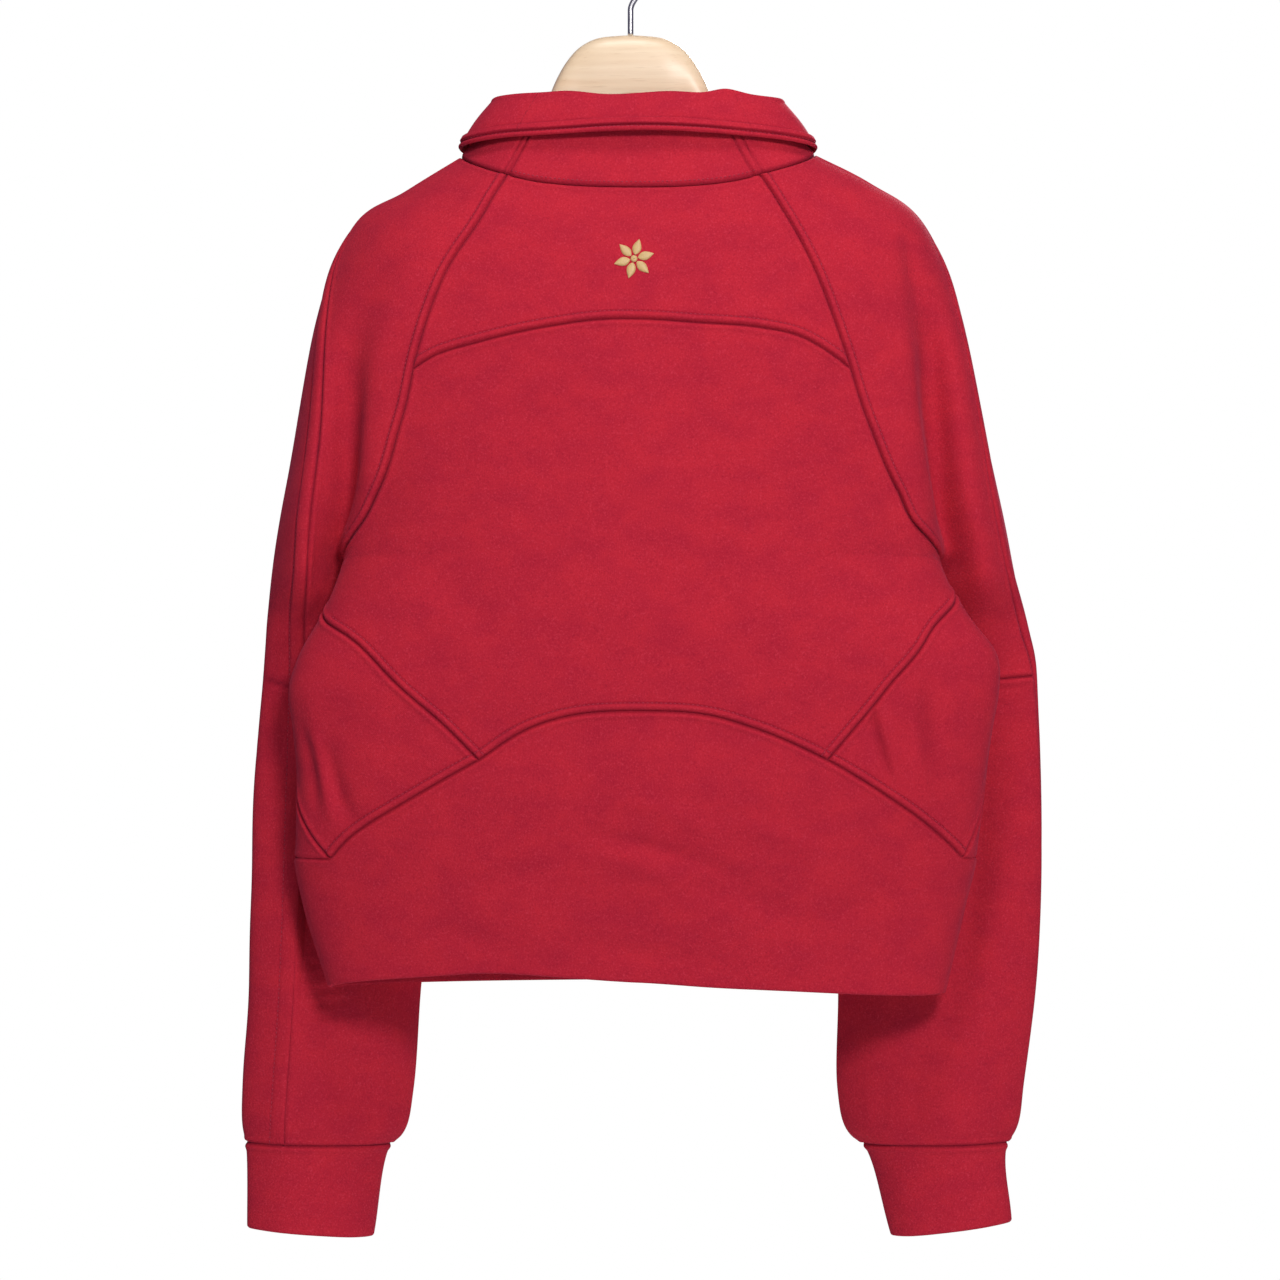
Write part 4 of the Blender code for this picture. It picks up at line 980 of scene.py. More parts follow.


# Second pass: seam profiles at the borders, painted shade in the grooves and creases, and a wall behind the
# cloth
def sewPiece(part):
    spec, closed, base, shape = part["spec"], part["closed"], part["base"], part["shape"]
    facing, shared = part["facing"].copy(), part["shared"]
    rows, columns = base.shape[:2]
    height = np.zeros((rows, columns))
    paintedShade = np.zeros((rows, columns))
    nearest = np.full((rows, columns), 1e3)
    strength = np.ones((rows, columns))
    found = []
    lines = {"top": shared[:1], "bottom": shared[-1:], "left": shared[:, :1], "right": shared[:, -1:]}
    for border, (kind, fromShare, toShare) in spec["borders"].items():
        d, where = borderDistance(base, border, spec.get("window", 0.3))
        if kind == "free":
            height += foldedEdge(d, seamLook["edgeRadius"])
            continue
        width = seamLook["bandWidth"] if kind == "wide" else seamLook["width"]
        here = between(where, fromShare, toShare, 0.02) * (kind != "plain")
        faded = np.ones((rows, columns))
        for low, high in spec.get("faded", {}).get(border, ()):
            faded -= seamLook["fadeBy"] * between(where, low, high, 0.06)
        beside = faded * (here * weltSeam(d, width) + (1 - here) * plainSeam(d))
        height = np.where(np.abs(beside) > np.abs(height), beside, height)
        strength = np.where(d <= nearest, faded, strength)
        nearest = np.minimum(nearest, d)
        # painted shade in the dip under the topstitching
        paintedShade = np.maximum(paintedShade, 0.9 * faded * here * bell(d - width, seamLook["dipWide"]))
        if kind != "plain":
            found.append((border, d, here, width))
        facing = facing + bell(d, seamLook["turnWide"])[..., None] * (lines[border] - facing)
    groove = bell(nearest, seamLook["grooveWide"])
    height = height * (1 - groove) - seamLook["groove"] * groove * strength
    # painted shade in the seam groove, under narrow creases and along the drawn lines
    paintedShade = np.maximum(paintedShade, strength * bell(nearest, 0.9))
    paintedShade = np.maximum(paintedShade, 0.16 * np.clip(-part["narrow"], 0, 4))
    lineDepth = creaseHeight(base, spec.get("lines", ())) * ease(-part["facing"][..., 1] / 0.3)
    paintedShade = np.maximum(paintedShade, np.clip(-lineDepth, 0, 1) * 0.9)
    outer = shape + (height + lineDepth)[..., None] * facing
    inner = (shape - spec.get("wall", garment["wall"]) * part["facing"])[::3, ::3]
    for border, d, here, width in found:
        stitchLines.append(lineAt(outer, part["facing"], d, border, width, here > 0.5))
    grain = np.stack(np.meshgrid(runOf(base[rows // 2]), runOf(base[:, columns // 2])), -1) * mm
    points, faces = closedWall(outer, inner, closed)
    if closed:
        grain, paintedShade = grain[:, :-1], paintedShade[:, :-1]
    innerGrain = grain[::3, ::3].reshape(-1, 2)
    uv = np.concatenate([grain.reshape(-1, 2), innerGrain])
    paintedShadeByPoint = np.concatenate([paintedShade.reshape(-1), np.zeros(len(innerGrain))])
    piece = meshPiece(part["name"], points + shift, faces, bodyFleece, (part["node"],), uv, paintedShadeByPoint)
    wide, tall = spec["cut"]
    wide * mm
    tall * mm
    print(part["name"], "sewn")


# Creases in the garment's own millimetres: start x and z, end x and z, bend, width, height
backCreases = (
    (-162, -436, -80, -504, 6, 14, -1.3), (165, -423, 83, -491, -6, 14, -1.1),
    (-128, -340, -137, -436, 4, 15, -1.0), (110, -327, 118, -436, -4, 13, -0.9),
    (-26, -436, -55, -525, 5, 14, -0.9), (42, -463, 64, -532, -4, 15, 0.8),
    (-100, -300, -60, -360, -5, 16, -0.7), (30, -310, 44, -400, 4, 18, -0.6),
)
waistCreases = (
    (-45, -622, 85, -662, 6, 6.5, -2.0), (-20, -600, 60, -628, 5, 7, 1.2),
    (20, -655, 120, -690, 5, 9, -1.6), (-120, -668, -60, -650, 5, 8, -1.2),
    (-60, -690, 60, -712, -6, 8, -1.3), (60, -618, 130, -640, 4, 7, 1.0),
    (-150, -690, -90, -706, 3, 8, -1.0), (120, -690, 170, -672, 4, 8, -1.1),
    (-30, -640, 40, -664, 4, 6.5, 1.1),
)
frontCreases = (
    (-170, -420, -80, -500, 6, 13, -2.4), (172, -415, 84, -495, -6, 13, -2.2),
    (-60, -300, -40, -390, 4, 14, -1.3), (70, -290, 52, -380, 4, 14, -1.2),
    (-30, -480, 20, -600, 6, 15, -1.5), (120, -520, 150, -600, 5, 12, -1.6),
    (-190, -560, -150, -625, 5, 9, 1.6), (196, -560, 160, -622, -5, 9, -1.9),
    (-120, -340, -132, -430, 4, 12, 1.4), (118, -330, 134, -425, -4, 12, 1.2),
)
creasesLeft = {
    "gore": ((-232, -548, -222, -612, 2, 4.2, -2.4), (-225, -552, -212, -618, 2, 5.0, 2.6),
             (-214, -560, -194, -620, -5, 7.0, -3.2), (-232, -520, -224, -566, 4, 9, 1.2),
             (-178, -560, -196, -596, 3, 8, 0.9), (-160, -520, -178, -548, 4, 9, -0.9)),
    "back": ((-203, -236, -215, -300, 5, 11, -0.9), (-225, -300, -236, -372, 3, 10, 0.8),
             (-199, -290, -201, -424, 0, 10, -4.4)),
    "lower": ((-238, -520, -220, -775, -7, 18, -12.0), (-205, -742, -176, -792, -5, 12, -1.2),
              (-196, -800, -190, -838, 1, 6, -1.1), (-214, -806, -216, -840, 1, 5, -0.9),
              (-240, -800, -243, -842, 1, 6, -0.8)),
    "front": ((-236, -470, -205, -520, -4, 13, -1.4), (-262, -560, -220, -600, -4, 12, -1.1),
              (-180, -700, -216, -760, 4, 13, -1.0), (-204, -800, -200, -842, 1, 6, -1.0),
              (-240, -804, -243, -842, 1, 6, -0.9)),
    "line": ((-266, -518, -236, -526, 0, 1.7, -1.4),),      # the elbow seam runs on a little over the front
}
creasesRight = {
    "gore": ((158, -528, 177, -594, -2, 2.7, -3.2), (168, -530, 186, -582, -3, 6.0, 1.8),
             (197, -516, 207, -602, -4, 5.6, -2.5), (211, -522, 213, -582, 2, 7, 1.2),
             (188, -566, 199, -610, 2, 6, 1.1), (180, -548, 196, -600, -2, 6.5, -1.2)),
    "back": ((187, -206, 199, -262, -3, 6.5, -2.4), (203, -256, 217, -420, -4, 9, -4.0),
             (222, -260, 236, -350, -3, 10, 0.9), (176, -222, 190, -330, 3, 9, 1.1)),
    "lower": ((240, -520, 222, -775, 7, 18, -11.0), (232, -740, 186, -790, 5, 12, -1.2),
              (172, -804, 168, -842, 1, 6, -1.1), (196, -800, 200, -840, -1, 6, -0.9),
              (230, -798, 236, -838, 1, 6, -0.9), (258, -560, 262, -640, 2, 10, -1.0)),
    "front": ((240, -470, 206, -524, 4, 13, -1.4), (264, -566, 220, -604, 4, 12, -1.1),
              (170, -700, 206, -762, -4, 13, -1.0), (196, -800, 192, -840, 1, 6, -1.0),
              (236, -802, 239, -842, 1, 6, -0.9)),
    "line": (),
}

# Cut sizes of the sleeve pieces, width and length, and their flat area in square metres, all round the tube
cutsLeft = {"back": (150, 425, 0.0316), "lower": (130, 335, 0.0347), "front": (215, 745, 0.118),
            "cuff": (218, 66, 0.0140)}
cutsRight = {"back": (175, 425, 0.0433), "lower": (185, 335, 0.0518), "front": (215, 745, 0.103),
             "cuff": (212, 66, 0.0133)}
sides = ((-1, "Left", creasesLeft, cutsLeft), (1, "Right", creasesRight, cutsRight))

# What a border is, and between which shares of its length it is topstitched
plain = ("plain", 0, 1)
welt = ("welt", -1, 2)
free = ("free", 0, 1)


# The four borders of a body piece, plain but for the named ones
def seams(**others):
    return {"top": plain, "left": plain, "right": plain, "bottom": plain, **others}


bodyPieces = [
    ("yokeBack", "back_yoke", yokeSurface, {
        "step": 2.2, "soften": 4, "waves": 0.35, "cut": (300, 130), "area": 0.0263, "on": ["hanger_wood"],
        "borders": seams(bottom=welt)}),
    ("panelBack", "back_panel", backSurface, {
        "step": 2.2, "soften": 5, "waves": 0.6, "cut": (510, 330), "area": 0.102, "on": ["yokeBack"],
        "creases": backCreases, "window": 0.25,
        "borders": seams(left=("welt", 0.62, 2), right=("welt", 0.62, 2), bottom=welt)}),
    ("waistBack", "waistband_back", waistSurface, {
        "step": 2.4, "soften": 3, "waves": 0.5, "cut": (520, 200), "area": 0.0743, "on": ["panelBack"],
        "wall": garment["bandWall"], "creases": waistCreases, "faded": {"top": ((-1, 0.07), (0.93, 2))},
        "borders": seams(bottom=free)}),
    ("waistFront", "waistband_front", frontWaistSurface, {
        "step": 3.2, "soften": 3, "waves": 0.6, "cut": (480, 100), "area": 0.0436, "on": ["panelFront"],
        "wall": garment["bandWall"], "borders": seams(bottom=free)}),
    ("panelFront", "front_panel", frontSurface, {
        "step": 3.2, "soften": 5, "waves": 0.8, "cut": (510, 470), "area": 0.169, "on": ["hanger_wood"],
        "creases": frontCreases, "window": 0.2, "faded": {"bottom": ((-1, 0.11), (0.89, 2))},
        "borders": seams(bottom=("welt", 0.13, 0.87))}),
]
for side, tag, creases, cuts in sides:
    bodyPieces.append(("gore" + tag, "gore_" + tag.lower(), goreSurface(side), {
        "step": 2.0, "soften": 4, "waves": 0.4, "cut": (190, 150), "area": 0.0155, "on": ["panelBack"],
        "wall": garment["goreWall"], "creases": creases["gore"], "borders": seams(bottom=welt)}))


# The pieces of one sleeve; the raglan seam is a right back piece's left border, and a left one's right border
def sleevePieces(side, tag, creases, cuts):
    seamSide, farSide = ("left", "right") if side > 0 else ("right", "left")
    ends = {"top": plain, "bottom": plain}
    specs = {
        "back": {"step": 2.3, "soften": 6, "waves": 0.5, "on": ["hanger_wood"],
                 "calm": (side * 222, -436, 24),            # x, z and radius of the place at the underarm
                 "borders": {seamSide: ("welt", -1, 0.72), **ends, farSide: plain}},
        "lower": {"step": 2.5, "soften": 6, "waves": 0.5, "on": ["sleeveBack" + tag],
                  "faded": {farSide: ((-1, 2),)}, "borders": {seamSide: plain, **ends, farSide: plain}},
        "front": {"step": 2.9, "soften": 6, "waves": 0.5, "on": ["hanger_wood"], "lines": creases["line"],
                  "faded": {seamSide: ((0.56, 2),)},
                  "borders": {seamSide: ("wide", -1, 2), **ends, farSide: plain}},
        "cuff": {"step": 2.2, "soften": 3, "waves": 0.25, "on": ["sleeveFront" + tag], "closed": True,
                 "window": 0.45, "wall": garment["bandWall"], "borders": {"top": plain, "bottom": free}},
    }
    rows = (
        ("sleeveBack", "sleeve_back_upper_", 0.0, garment["elbow"], "back", "back"),
        ("sleeveLower", "sleeve_back_lower_", garment["elbow"], garment["wrist"], "back", "lower"),
        ("sleeveFront", "sleeve_front_", 0.0, garment["wrist"], "front", "front"),
        ("cuff", "cuff_", garment["wrist"], garment["cuffEnd"], "whole", "cuff"),
    )
    made = []
    for name, node, first, last, part, key in rows:
        wide, tall, area = cuts[key]
        spec = {**specs[key], "cut": (wide, tall), "area": area, "creases": creases.get(key, ())}
        made.append((name + tag, node + tag.lower(), sleeveSurface(side, first, last, part), spec))
    return made


for entry in sides:
    bodyPieces += sleevePieces(*entry)
laid = [layOut(*entry) for entry in bodyPieces]
print("pieces laid out")
meetAtSeams(laid)
for part in laid:
    sewPiece(part)


# Ring of the collar at plan angles, 0 at the centre back: a rounded oval whose height changes with the cosine
def collarRing(ring, angle):
    half, backY, frontY, backZ, sideZ, frontZ = ring
    power = 2 / 2.3
    cosine, sine = np.cos(angle), np.sin(angle)
    x = np.sign(sine) * half * np.abs(sine) ** power
    y = np.where(cosine > 0, backY, frontY) * np.abs(cosine) ** power
    z = sideZ + np.where(cosine > 0, backZ - sideZ, frontZ - sideZ) * np.abs(cosine) ** 1.5
    return np.stack([x, y, z], -1)


collarLook = {
    "neck": (123, 43),                              # half width and half depth of the neckline's oval
    "fold": (97, -37, 35, -114.5, -113, -124),      # half width, back y, front y, heights: back, side, front
    "edge": (125, -48.5, 46, -141.3, -148, -163),
    "foldRadius": 2.6,
    "wall": garment["bandWall"],
    "hollow": 0.5,                                  # how far the stand bends in and the fall bulges out
    "bulge": 0.9,
    "wave": 0.96,                                   # unevenness of the folded top
    "humps": ((78, 20, 4.5), (-60, 24, 0.8)),       # rises of the fold at the back: x, width, height
    # seams up the stand: x at foot and top, depth
    "seams": ((-89, -86.5, 1.0), (-93, -91, 0.6), (80, 72.5, 1.0), (86.5, 79, 0.6)),
    "stitchAt": 3.9,                                # topstitching: of the fall from its edge
    "footStitchAt": 3.0,                            # and of the stand from its foot
    "columns": 690,
    "cuts": {"Back": (180, 95, 0.0155), "Front": (600, 95, 0.0383)},    # width, height, flat area
}


# Neckline, all round: back of the yoke, right sleeve, front, left sleeve; spaced by length and softened
def neckline(count):
    t = np.linspace(0, 1, 200)
    top = np.zeros(1)

    def sleeveTop(side, part):
        return sleeveSurface(side, 0.0, garment["elbow"], part)(top, t)[0]

    ring = np.concatenate([yokeSurface(top, t)[0], sleeveTop(1, "back"), sleeveTop(1, "front"),
                           frontSurface(top, t)[0], sleeveTop(-1, "front"), sleeveTop(-1, "back")])
    run = runOf(ring)
    line = atPlaces(np.linspace(0, run[-1], count + 1), run, ring)[:-1]
    for _ in range(10):
        line = blended(np.roll(line, 1, 0), line, np.roll(line, -1, 0))
    return line


# Collar: one loop in section, stand up to the fold and fall down to the folded edge, swept round the neckline
def collarPieces():
    look = collarLook
    base = neckline(look["columns"])
    count = len(base)
    x = base[:, 0]
    angle = np.arctan2(x / look["neck"][0], -base[:, 1] / look["neck"][1])
    fold = collarRing(look["fold"], angle)
    edgeRing = collarRing(look["edge"], angle)
    isBack = ease((-base[:, 1] - 8) / 20)
    fold[:, 2] += look["wave"] * np.sin(x / 19 + 0.8 * np.sin(x / 31))
    for place, width, rise in look["humps"]:
        fold[:, 2] += rise * bell(x - place, width) * isBack
    edgeRing[:, 2] += 0.7 * np.sin(x / 23 + 1.1)
    foot = base - np.array([0, 0, 0.6])
    outward = edgeRing - fold
    outward[:, 2] = 0
    outward = unit(outward)

    # the section's middle line: stand, half circle of the fold, fall
    r = look["foldRadius"]
    standTop = fold - np.array([0, 0, r])
    fallTop = standTop + 2 * r * outward
    section = []
    for t in np.linspace(0, 1, 20)[:-1]:
        section.append(foot + t * (standTop - foot) - look["hollow"] * math.sin(math.pi * t) * outward)
    for t in np.linspace(0, math.pi, 11):
        section.append(standTop + r * (1 - math.cos(t)) * outward + np.array([0, 0, r * math.sin(t)]))
    for t in np.concatenate([np.linspace(0, 0.62, 11)[1:], np.linspace(0.64, 1, 28)]):
        section.append(fallTop + t * (edgeRing - fallTop) + look["bulge"] * math.sin(math.pi * t) * outward)
    line = np.stack(section, 1)
    onStand = np.arange(len(section)) < 20
    onFall = np.arange(len(section)) > 32
    tangent = unit(np.roll(base, -1, 0) - np.roll(base, 1, 0))[:, None]
    alongLine = unit(np.gradient(line, axis=1))
    side = unit(np.cross(np.broadcast_to(tangent, alongLine.shape), alongLine))

    # seam profiles, and painted shade in their grooves, by the distance from the foot and from the folded
    # edge
    run = runOf(line)
    toEnd = run[:, -1:] - run
    half = look["wall"] / 2
    band = 0.75 * bell(toEnd - 1.9, 1.5) + 1.9 * ease((9.4 - toEnd) / 1.2) * ease((toEnd - 3.2) / 2.0)
    puff = (band - 1.5 * bell(toEnd - look["stitchAt"], 0.75)) * onFall
    stand = -0.7 * bell(run, 1.1) + 0.5 * bell(run - 3, 1.8)
    # painted shade under the topstitching, at the top of the band, at the foot and in the stand's seams
    fallPaintedShade = (bell(toEnd - look["stitchAt"], 0.8) + 0.5 * bell(toEnd - 9.7, 0.8)) * onFall
    standPaintedShade = 0.9 * bell(run, 1.2)
    climb = np.clip(run / 45, 0, 1)
    for footX, topX, depth in look["seams"]:
        gap = np.abs(x[:, None] - footX - (topX - footX) * climb)
        groove = bell(gap, 0.9)
        here = depth * onStand[None] * (base[:, 1] < 0)[:, None]
        stand = stand + (0.4 * bell(gap - 2.8, 1.6) - 1.4 * groove) * here
        standPaintedShade = np.maximum(standPaintedShade, 0.9 * groove * here)
    waves = 0.35 * np.sin(x / 13 + 2.0)[:, None] * np.sin(run / 6.5)
    rounded = foldedEdge(toEnd, half * 0.98)
    under = line + (half + stand * onStand + rounded)[..., None] * side
    upper = line - (half + puff + waves + rounded)[..., None] * side
    loop = np.concatenate([under, upper[:, ::-1]], 1)
    paintedShadeByPoint = np.concatenate([standPaintedShade, fallPaintedShade[:, ::-1]], 1)
    columns = loop.shape[1]
    downRun = np.concatenate([run, 2 * run[:, -1:] - run[:, ::-1]], 1)

    # the loop is cut at the yoke's two ends into a back and a front piece, each closed at its ends
    ends = yokeSurface(np.zeros(1), np.array([0.0, 1.0]))[0]
    first, last = [int(np.argmin(np.linalg.norm(base - end, axis=-1))) for end in ends]
    backRun = np.arange(first, last + 1) if last > first else np.arange(first, last + count + 1) % count
    frontRun = np.arange(last, first + count + 1) % count if last > first else np.arange(last, first + 1)
    for tag, rows in (("Back", backRun), ("Front", frontRun)):
        part = loop[rows]
        index = indexOf(part.shape)
        faces = cells(ringed(index)).tolist()
        for row, forward in ((index[0], False), (index[-1], True)):
            for i in range(columns // 2 - 1):
                quad = [int(row[k]) for k in (i, i + 1, columns - 2 - i, columns - 1 - i)]
                faces.append(quad[::-1] if forward else quad)
        acrossRun = np.broadcast_to(runOf(base)[rows][:, None], part.shape[:2])
        grain = np.stack([acrossRun, downRun[rows]], -1) * mm
        piece = meshPiece("collar" + tag, part.reshape(-1, 3) + shift, faces, bodyFleece,
                          ("collar_" + tag.lower(),), grain.reshape(-1, 2), paintedShadeByPoint[rows].reshape(-1))
        wide, tall, area = look["cuts"][tag]
        wide * mm
        tall * mm
    near = np.argmax(toEnd[0] < look["stitchAt"])
    stitchLines.append((upper[:, near], -side[:, near]))
    low = np.argmax(run[0] > look["footStitchAt"])
    stitchLines.append((under[backRun, low], side[backRun, low]))


# Small flower stitched in gold thread on the yoke: petals of satin stitch round a knot
flower = {
    "x": -2.7, "z": -230.0, "petals": 6, "inner": 2.8, "outer": 14.0, "width": 6.2, "turned": 15,
    "rise": 0.9, "stitch": 0.22, "knot": 2.4, "knotRise": 1.1, "gold": (0.66, 0.44, 0.17, 1.0),
}


# Height over the yoke: the cloth near the flower fitted by a plane and two squares
def yokeDepth(x, z):
    def terms(points):
        a, b = points[0] - flower["x"], points[1] - flower["z"]
        return np.stack([1 + 0 * a, a, b, a * a, b * b], -1)

    cloth = laid[0]["shape"].reshape(-1, 3)
    near = cloth[np.hypot(cloth[:, 0] - flower["x"], cloth[:, 2] - flower["z"]) < 26]
    fitted = np.linalg.lstsq(terms((near[:, 0], near[:, 2])), near[:, 1], rcond=None)[0]
    return terms((x, z)) @ fitted


# A petal is a lens in plan: its half width is the sine of its length share; its height the cosine across
def yokeFlower():
    look = flower
    t, s = np.linspace(0, 1, 31)[:, None], np.linspace(-1, 1, 13)[None]
    reach = look["inner"] + (look["outer"] - look["inner"]) * t + 0 * s
    half = look["width"] / 2 * (0.06 + 0.94 * np.sin(math.pi * t ** 0.8)) * s
    high = look["rise"] * np.sqrt(np.clip(1 - s ** 2, 0, 1)) * np.sin(math.pi * np.clip(t, 0.04, 0.96)) ** 0.5
    thread = look["stitch"] * np.abs(np.sin(math.pi * (9 * t + 0.9 * np.abs(s)))) * (1 - s ** 4)
    shapes = []
    for k in range(look["petals"]):
        angle = math.radians(look["turned"]) + 2 * math.pi * k / look["petals"]
        shapes.append((reach * math.cos(angle) - half * math.sin(angle),
                       reach * math.sin(angle) + half * math.cos(angle), high + thread, False))
    knotAngle = 2 * math.pi * np.linspace(0, 1, 31)[:, None]
    inward = np.linspace(1, 0.02, 13)[None]
    knot = look["knot"] * inward
    shapes.append((knot * np.cos(-knotAngle), knot * np.sin(-knotAngle),
                   look["knotRise"] * np.sqrt(1 - inward ** 2) + 0 * knotAngle, True))
    allPoints, allFaces, total = [], [], 0
    for across, up, lift, closed in shapes:
        x, z = look["x"] + across, look["z"] + up
        cloth = yokeDepth(x, z)
        outer = np.stack([x, cloth - lift - 0.05, z], -1)
        inner = np.stack([x, cloth + 0.5, z], -1)[::3, ::3]
        points, faces = closedWall(outer, inner, closed)
        allPoints.append(points + shift)
        allFaces += [[corner + total for corner in face] for face in faces]
        total += len(points)
    gold = Finish("goldThread", 0.42, Sheen_Weight=0.1, Specular_IOR_Level=0.5)
    made = gold.noise(gold.mapped(gold.place(), (900, 900, 900)), 1.0, 2.0, 0.5)
    shade = [0.8 * c for c in look["gold"][:3]] + [1.0]
    gold.link(gold.blendColours(made, shade, look["gold"]), "Base Color")
    meshPiece("yokeFlower", np.concatenate(allPoints), allFaces, gold.material)


yokeFlower()
print("flower stitched")
collarPieces()
print("collar made")

# Wooden hanger: x, top, bottom, half thickness, centre y; the same rows mirrored on the other side
hangerRows = (
    (-188, -212, -217, 3, 11.3), (-186, -206, -224, 10, 11), (-180, -201.5, -228, 14.5, 10.4),
    (-170, -196, -227, 16.5, 9.5), (-150, -184, -218, 17, 8), (-120, -166.5, -200, 16.5, 5.5),
    (-92, -149.5, -183, 16, 3), (-72, -136, -170, 15, 1.5), (-60, -121, -163, 14.5, 1),
    (-55, -106, -159, 14.2, 0.6), (-50.5, -96, -156, 14, 0.5), (-44.5, -86, -152, 13.5, 0.3),
    (-36, -76.5, -148, 13, 0.2), (-25, -70.5, -144, 13, 0), (-10, -68.2, -142, 13, 0),
)
hangerLook = {"stations": 240, "around": 72, "power": 2 / 2.6}


# Sections are rounded ovals: cosine and sine raised to a power, blended along x by the cubic curve
def hangerBody():
    look = hangerLook
    rows = list(hangerRows) + [(-x, top, low, half, y) for x, top, low, half, y in reversed(hangerRows)]
    rows = np.array(rows, float)
    knots = np.concatenate([[0], np.cumsum(np.hypot(np.diff(rows[:, 0]), np.diff(rows[:, 1])))])
    dense = np.unique(np.concatenate([np.linspace(0, knots[-1], look["stations"]), knots]))
    x, top, low, thick, centre = smooth(dense, knots, rows).T[..., None]
    angle = np.arange(look["around"]) * 2 * math.pi / look["around"]
    cosine, sine = np.cos(angle), np.sin(angle)
    y = centre + thick * np.sign(cosine) * np.abs(cosine) ** look["power"]
    z = (top + low) / 2 + (top - low) / 2 * np.sign(sine) * np.abs(sine) ** look["power"]
    points, faces = capped(np.stack([np.broadcast_to(x, y.shape), y, z], -1))
    meshPiece("hangerBody", points, faces, hangerWood(), ("hanger_wood",))


hookLook = {
    "wire": 4.0,
    "inner": 18.0,              # inside radius of the bend
    "foot": -67.7,              # the shank runs up from here, inside the wood
    "shankTop": -50.0,
    "swing": 16.0,              # strength of the curve from the shank to the bend
    "bend": (-58, 205),         # the bend runs between these angles, in degrees
    "tip": 2.0,                 # length over which both ends are rounded
    "around": 32,
}


# Tube along a line: circles in the plane of the line's side direction and the y axis
def tube(line, radii, around):
    tangent = unit(np.gradient(line, axis=0))
    sideways = np.stack([tangent[:, 2], 0 * tangent[:, 0], -tangent[:, 0]], -1)
    angle = np.arange(around) * 2 * math.pi / around
    cosine, sine = np.cos(angle)[None, :, None], np.sin(angle)[None, :, None]
    ring = cosine * sideways[:, None] + sine * np.array([0, 1.0, 0])
    return capped(line[:, None] + radii[:, None, None] * ring)


# Hook: a straight shank, a cubic curve that swings out to the side, and a bend of one radius round the rail
def hangerHook():
    look = hookLook
    radius = look["inner"] + look["wire"] / 2
    join = math.radians(look["bend"][0])
    start = np.array([0.0, look["shankTop"]])
    goal = np.array([radius * math.cos(join), -look["inner"] + radius * math.sin(join)])
    t = np.linspace(0, 1, 24)[:, None]
    ahead = np.array([-math.sin(join), math.cos(join)])
    swing = cubic(t, look["swing"], start, np.array([0.0, 1.0]), goal, ahead)
    turned = np.radians(np.linspace(*look["bend"], 110))[1:]
    bow = np.stack([radius * np.cos(turned), -look["inner"] + radius * np.sin(turned)], -1)
    shank = np.stack([np.zeros(12), np.linspace(look["foot"], look["shankTop"], 12)], -1)[:-1]
    flat = np.concatenate([shank, swing, bow])
    line = np.stack([flat[:, 0], 0 * flat[:, 0], flat[:, 1]], -1)
    run = runOf(line)
    toEnd = np.minimum(run[-1] - run, look["tip"])
    radii = look["wire"] / 2 * np.sqrt(np.clip(1 - (1 - toEnd / look["tip"]) ** 2, 0.02, 1))
    points, faces = tube(line, radii, look["around"])
    meshPiece("hangerHook", points, faces, hookSteel(), ("hanger_hook",))


hangerBody()
hangerHook()
print("hanger made")

stitchLook = {
    "pitch": 3.1,
    "length": 2.4,
    "radius": 0.34,
    "sink": 0.05,
    "rings": ((-1.0, 0.25, -1.0), (-0.55, 0.92, -0.1), (0.0, 1.0, 0.25), (0.55, 0.92, -0.1),
              (1.0, 0.25, -1.0)),
    "angles": (0, 60, 120, 180, 270),
}


# Stitches: along each line short rounded lozenges lie flat on the cloth; a ring's numbers are its place as a
# share of half the length, and its size and height as shares of the radius
def stitchMesh(name, lines):
    look = stitchLook
    centres, runs, facings = [], [], []
    for points, facing in lines:
        if len(points) < 3:
            continue
        run = runOf(points)
        place = np.arange(look["pitch"], run[-1] - 1, look["pitch"])
        centres.append(atPlaces(place, run, points))
        runs.append(unit(atPlaces(place + 0.8, run, points) - atPlaces(place - 0.8, run, points)))
        facings.append(unit(atPlaces(place, run, facing)))
    centre, run, up = np.concatenate(centres), np.concatenate(runs), np.concatenate(facings)
    side = unit(np.cross(up, run))
    up = unit(np.cross(run, side))
    stations, size, drop = np.array(look["rings"]).T
    angle = np.radians(look["angles"])
    rows, around = len(stations), len(angle)
    shape = np.stack([
        np.repeat(stations * look["length"] / 2, around),
        np.concatenate([look["radius"] * s * np.cos(angle) for s in size]),
        np.concatenate([look["radius"] * (s * np.sin(angle) + d) for s, d in zip(size, drop)])], -1)
    points = centre[:, None] + shape[None, :, :1] * run[:, None] + shape[None, :, 1:2] * side[:, None]
    points = points + (shape[None, :, 2:3] - look["sink"]) * up[:, None]
    index = indexOf((rows, around))
    offset = (np.arange(len(centre)) * rows * around)[:, None, None]
    faces = (cells(ringed(index), True)[None] + offset).reshape(-1, 4).tolist()
    faces += (np.stack([index[0][::-1], index[-1]])[None] + offset).reshape(-1, around).tolist()
    meshPiece(name, points.reshape(-1, 3) + shift, faces, thread)
    print(name, len(centre), "stitches")


stitchMesh("topstitching", stitchLines)


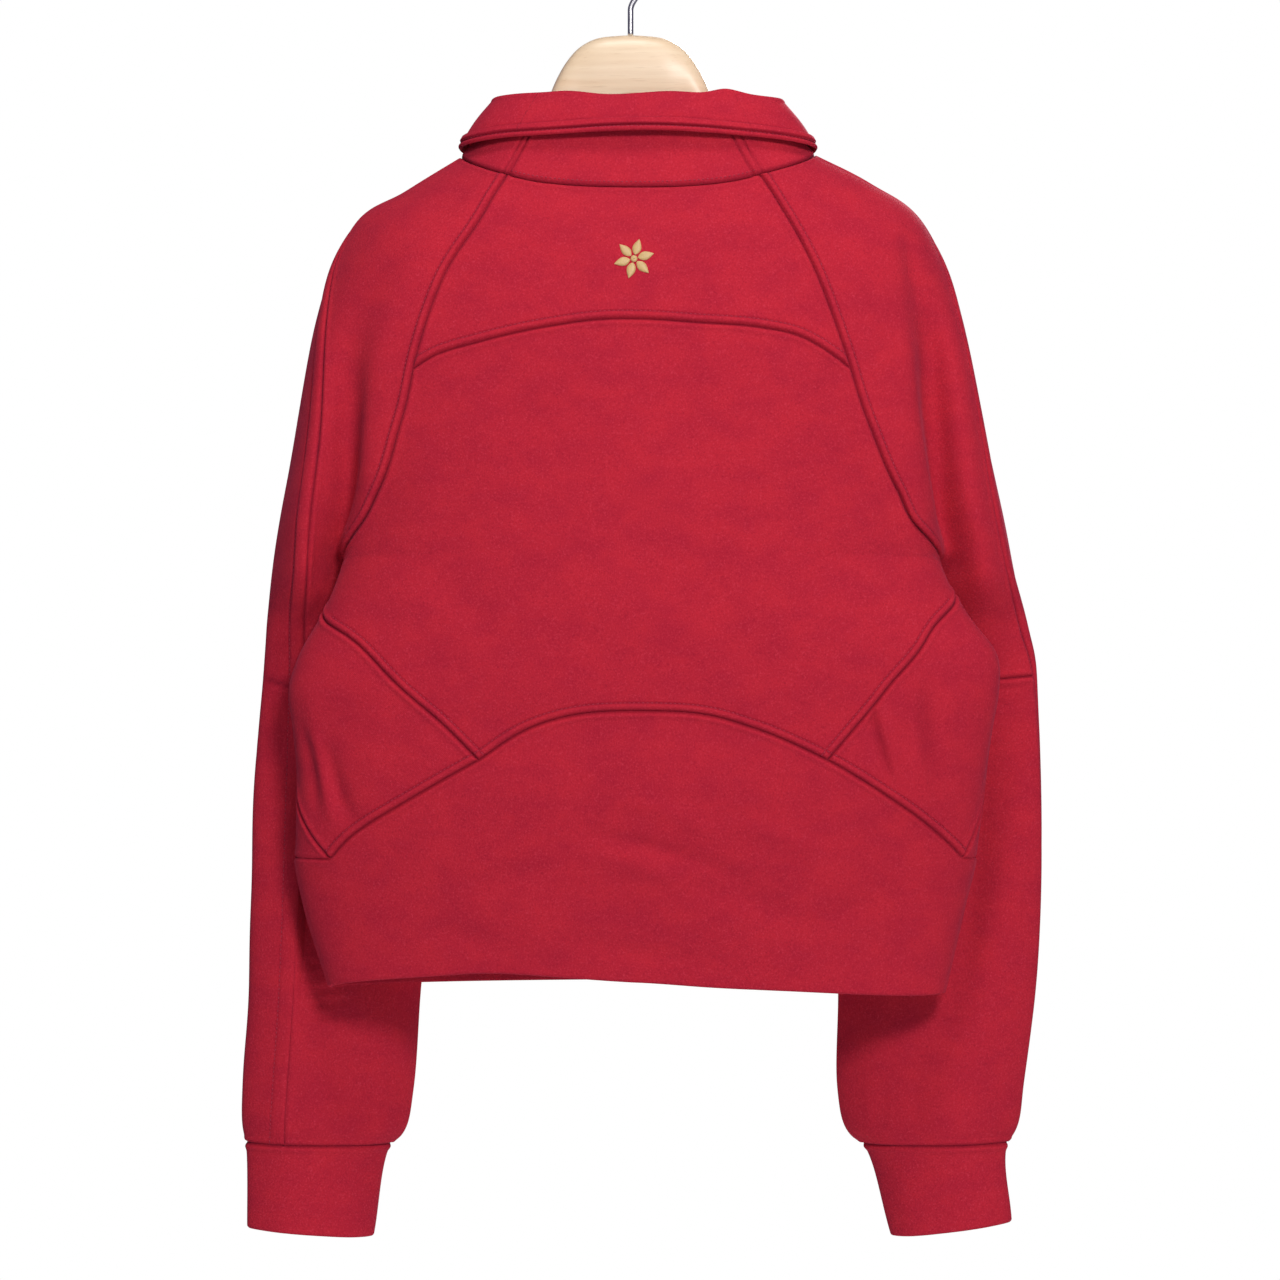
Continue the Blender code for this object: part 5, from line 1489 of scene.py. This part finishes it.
studioLook = {
    "floor": (3.0, 3.5, -1.75),                 # half width, half depth, height, in metres
    "paper": (0.86, 0.86, 0.87, 1),
    "seen": (1, 1, 1, 1),                       # background in the picture
    "soft": (0.62, 0.60, 0.92, 1),              # background light on the cloth
    "softPower": 0.17,
    "camera": (0.0066, -2.6, -0.4908),
    "sensor": 36,
    "distance": 2600,                           # millimetres from the camera to the middle depth
    "pictureWide": 896,                         # millimetres that the picture spans there
    "lamps": (                                  # place, aim, size, power and colour
        ("topLight", (0.0, -0.95, 1.75), (0, 0, -0.48), 0.6, 20, (1.0, 0.97, 0.95)),
        ("rightLight", (0.6, -2.3, 0.8), (0, 0, -0.5), 0.55, 36, (1.0, 0.97, 0.96)),
        ("leftLight", (-0.9, -2.2, 0.5), (0, 0, -0.5), 0.6, 4, (1.0, 0.97, 0.96)),
        ("lowLight", (1.9, -4.2, -1.1), (0, 0, -0.6), 1.0, 25, (1.0, 0.98, 0.98)),
        ("backLight", (0.9, 3.1, 1.2), (0, 0, -0.5), 1.2, 120, (0.98, 0.98, 1.0)),
    ),
}


# Floor, background, lamps that look along the line to their aim, and camera
def studio():
    look = studioLook
    scene = bpy.context.scene
    x, y, height = look["floor"]
    corners = [(-x, -y, height), (x, -y, height), (x, y, height), (-x, y, height)]
    floorMesh = bpy.data.meshes.new("studioFloor")
    floorMesh.from_pydata(corners, [], [(0, 1, 2, 3)])
    floor = bpy.data.objects.new("studioFloor", floorMesh)
    scene.collection.objects.link(floor)
    paper = Finish("studioPaper", 0.9, Base_Color=look["paper"])
    floorMesh.materials.append(paper.material)

    world = bpy.data.worlds.new("studioWorld")
    scene.world = world
    world.use_nodes = True
    nodes, links = world.node_tree.nodes, world.node_tree.links
    nodes.clear()
    seen, soft = nodes.new("ShaderNodeBackground"), nodes.new("ShaderNodeBackground")
    seen.inputs["Color"].default_value = look["seen"]
    seen.inputs["Strength"].default_value = 1.0
    soft.inputs["Color"].default_value = look["soft"]
    soft.inputs["Strength"].default_value = look["softPower"]
    path, mix = nodes.new("ShaderNodeLightPath"), nodes.new("ShaderNodeMixShader")
    out = nodes.new("ShaderNodeOutputWorld")
    links.new(path.outputs["Is Camera Ray"], mix.inputs[0])
    links.new(soft.outputs[0], mix.inputs[1])
    links.new(seen.outputs[0], mix.inputs[2])
    links.new(mix.outputs[0], out.inputs["Surface"])

    for name, place, aim, size, power, colour in look["lamps"]:
        lamp = bpy.data.lights.new(name, "AREA")
        lamp.shape = "DISK"
        lamp.size = size
        lamp.energy = power
        lamp.color = colour
        holder = bpy.data.objects.new(name, lamp)
        holder.location = place
        direction = np.array(aim) - np.array(place)
        flat = math.hypot(direction[0], direction[1])
        holder.rotation_euler = (math.atan2(flat, -direction[2]), 0, math.atan2(-direction[0], direction[1]))
        scene.collection.objects.link(holder)

    lens = bpy.data.cameras.new("mainCamera")
    lens.sensor_width = look["sensor"]
    lens.sensor_height = look["sensor"]
    lens.lens = look["sensor"] * look["distance"] / look["pictureWide"]
    lens.clip_end = 30
    camera = bpy.data.objects.new("mainCamera", lens)
    camera.location = look["camera"]
    camera.rotation_euler = (math.radians(90), 0, 0)
    scene.collection.objects.link(camera)
    scene.camera = camera
    scene.view_settings.view_transform = "Standard"


studio()
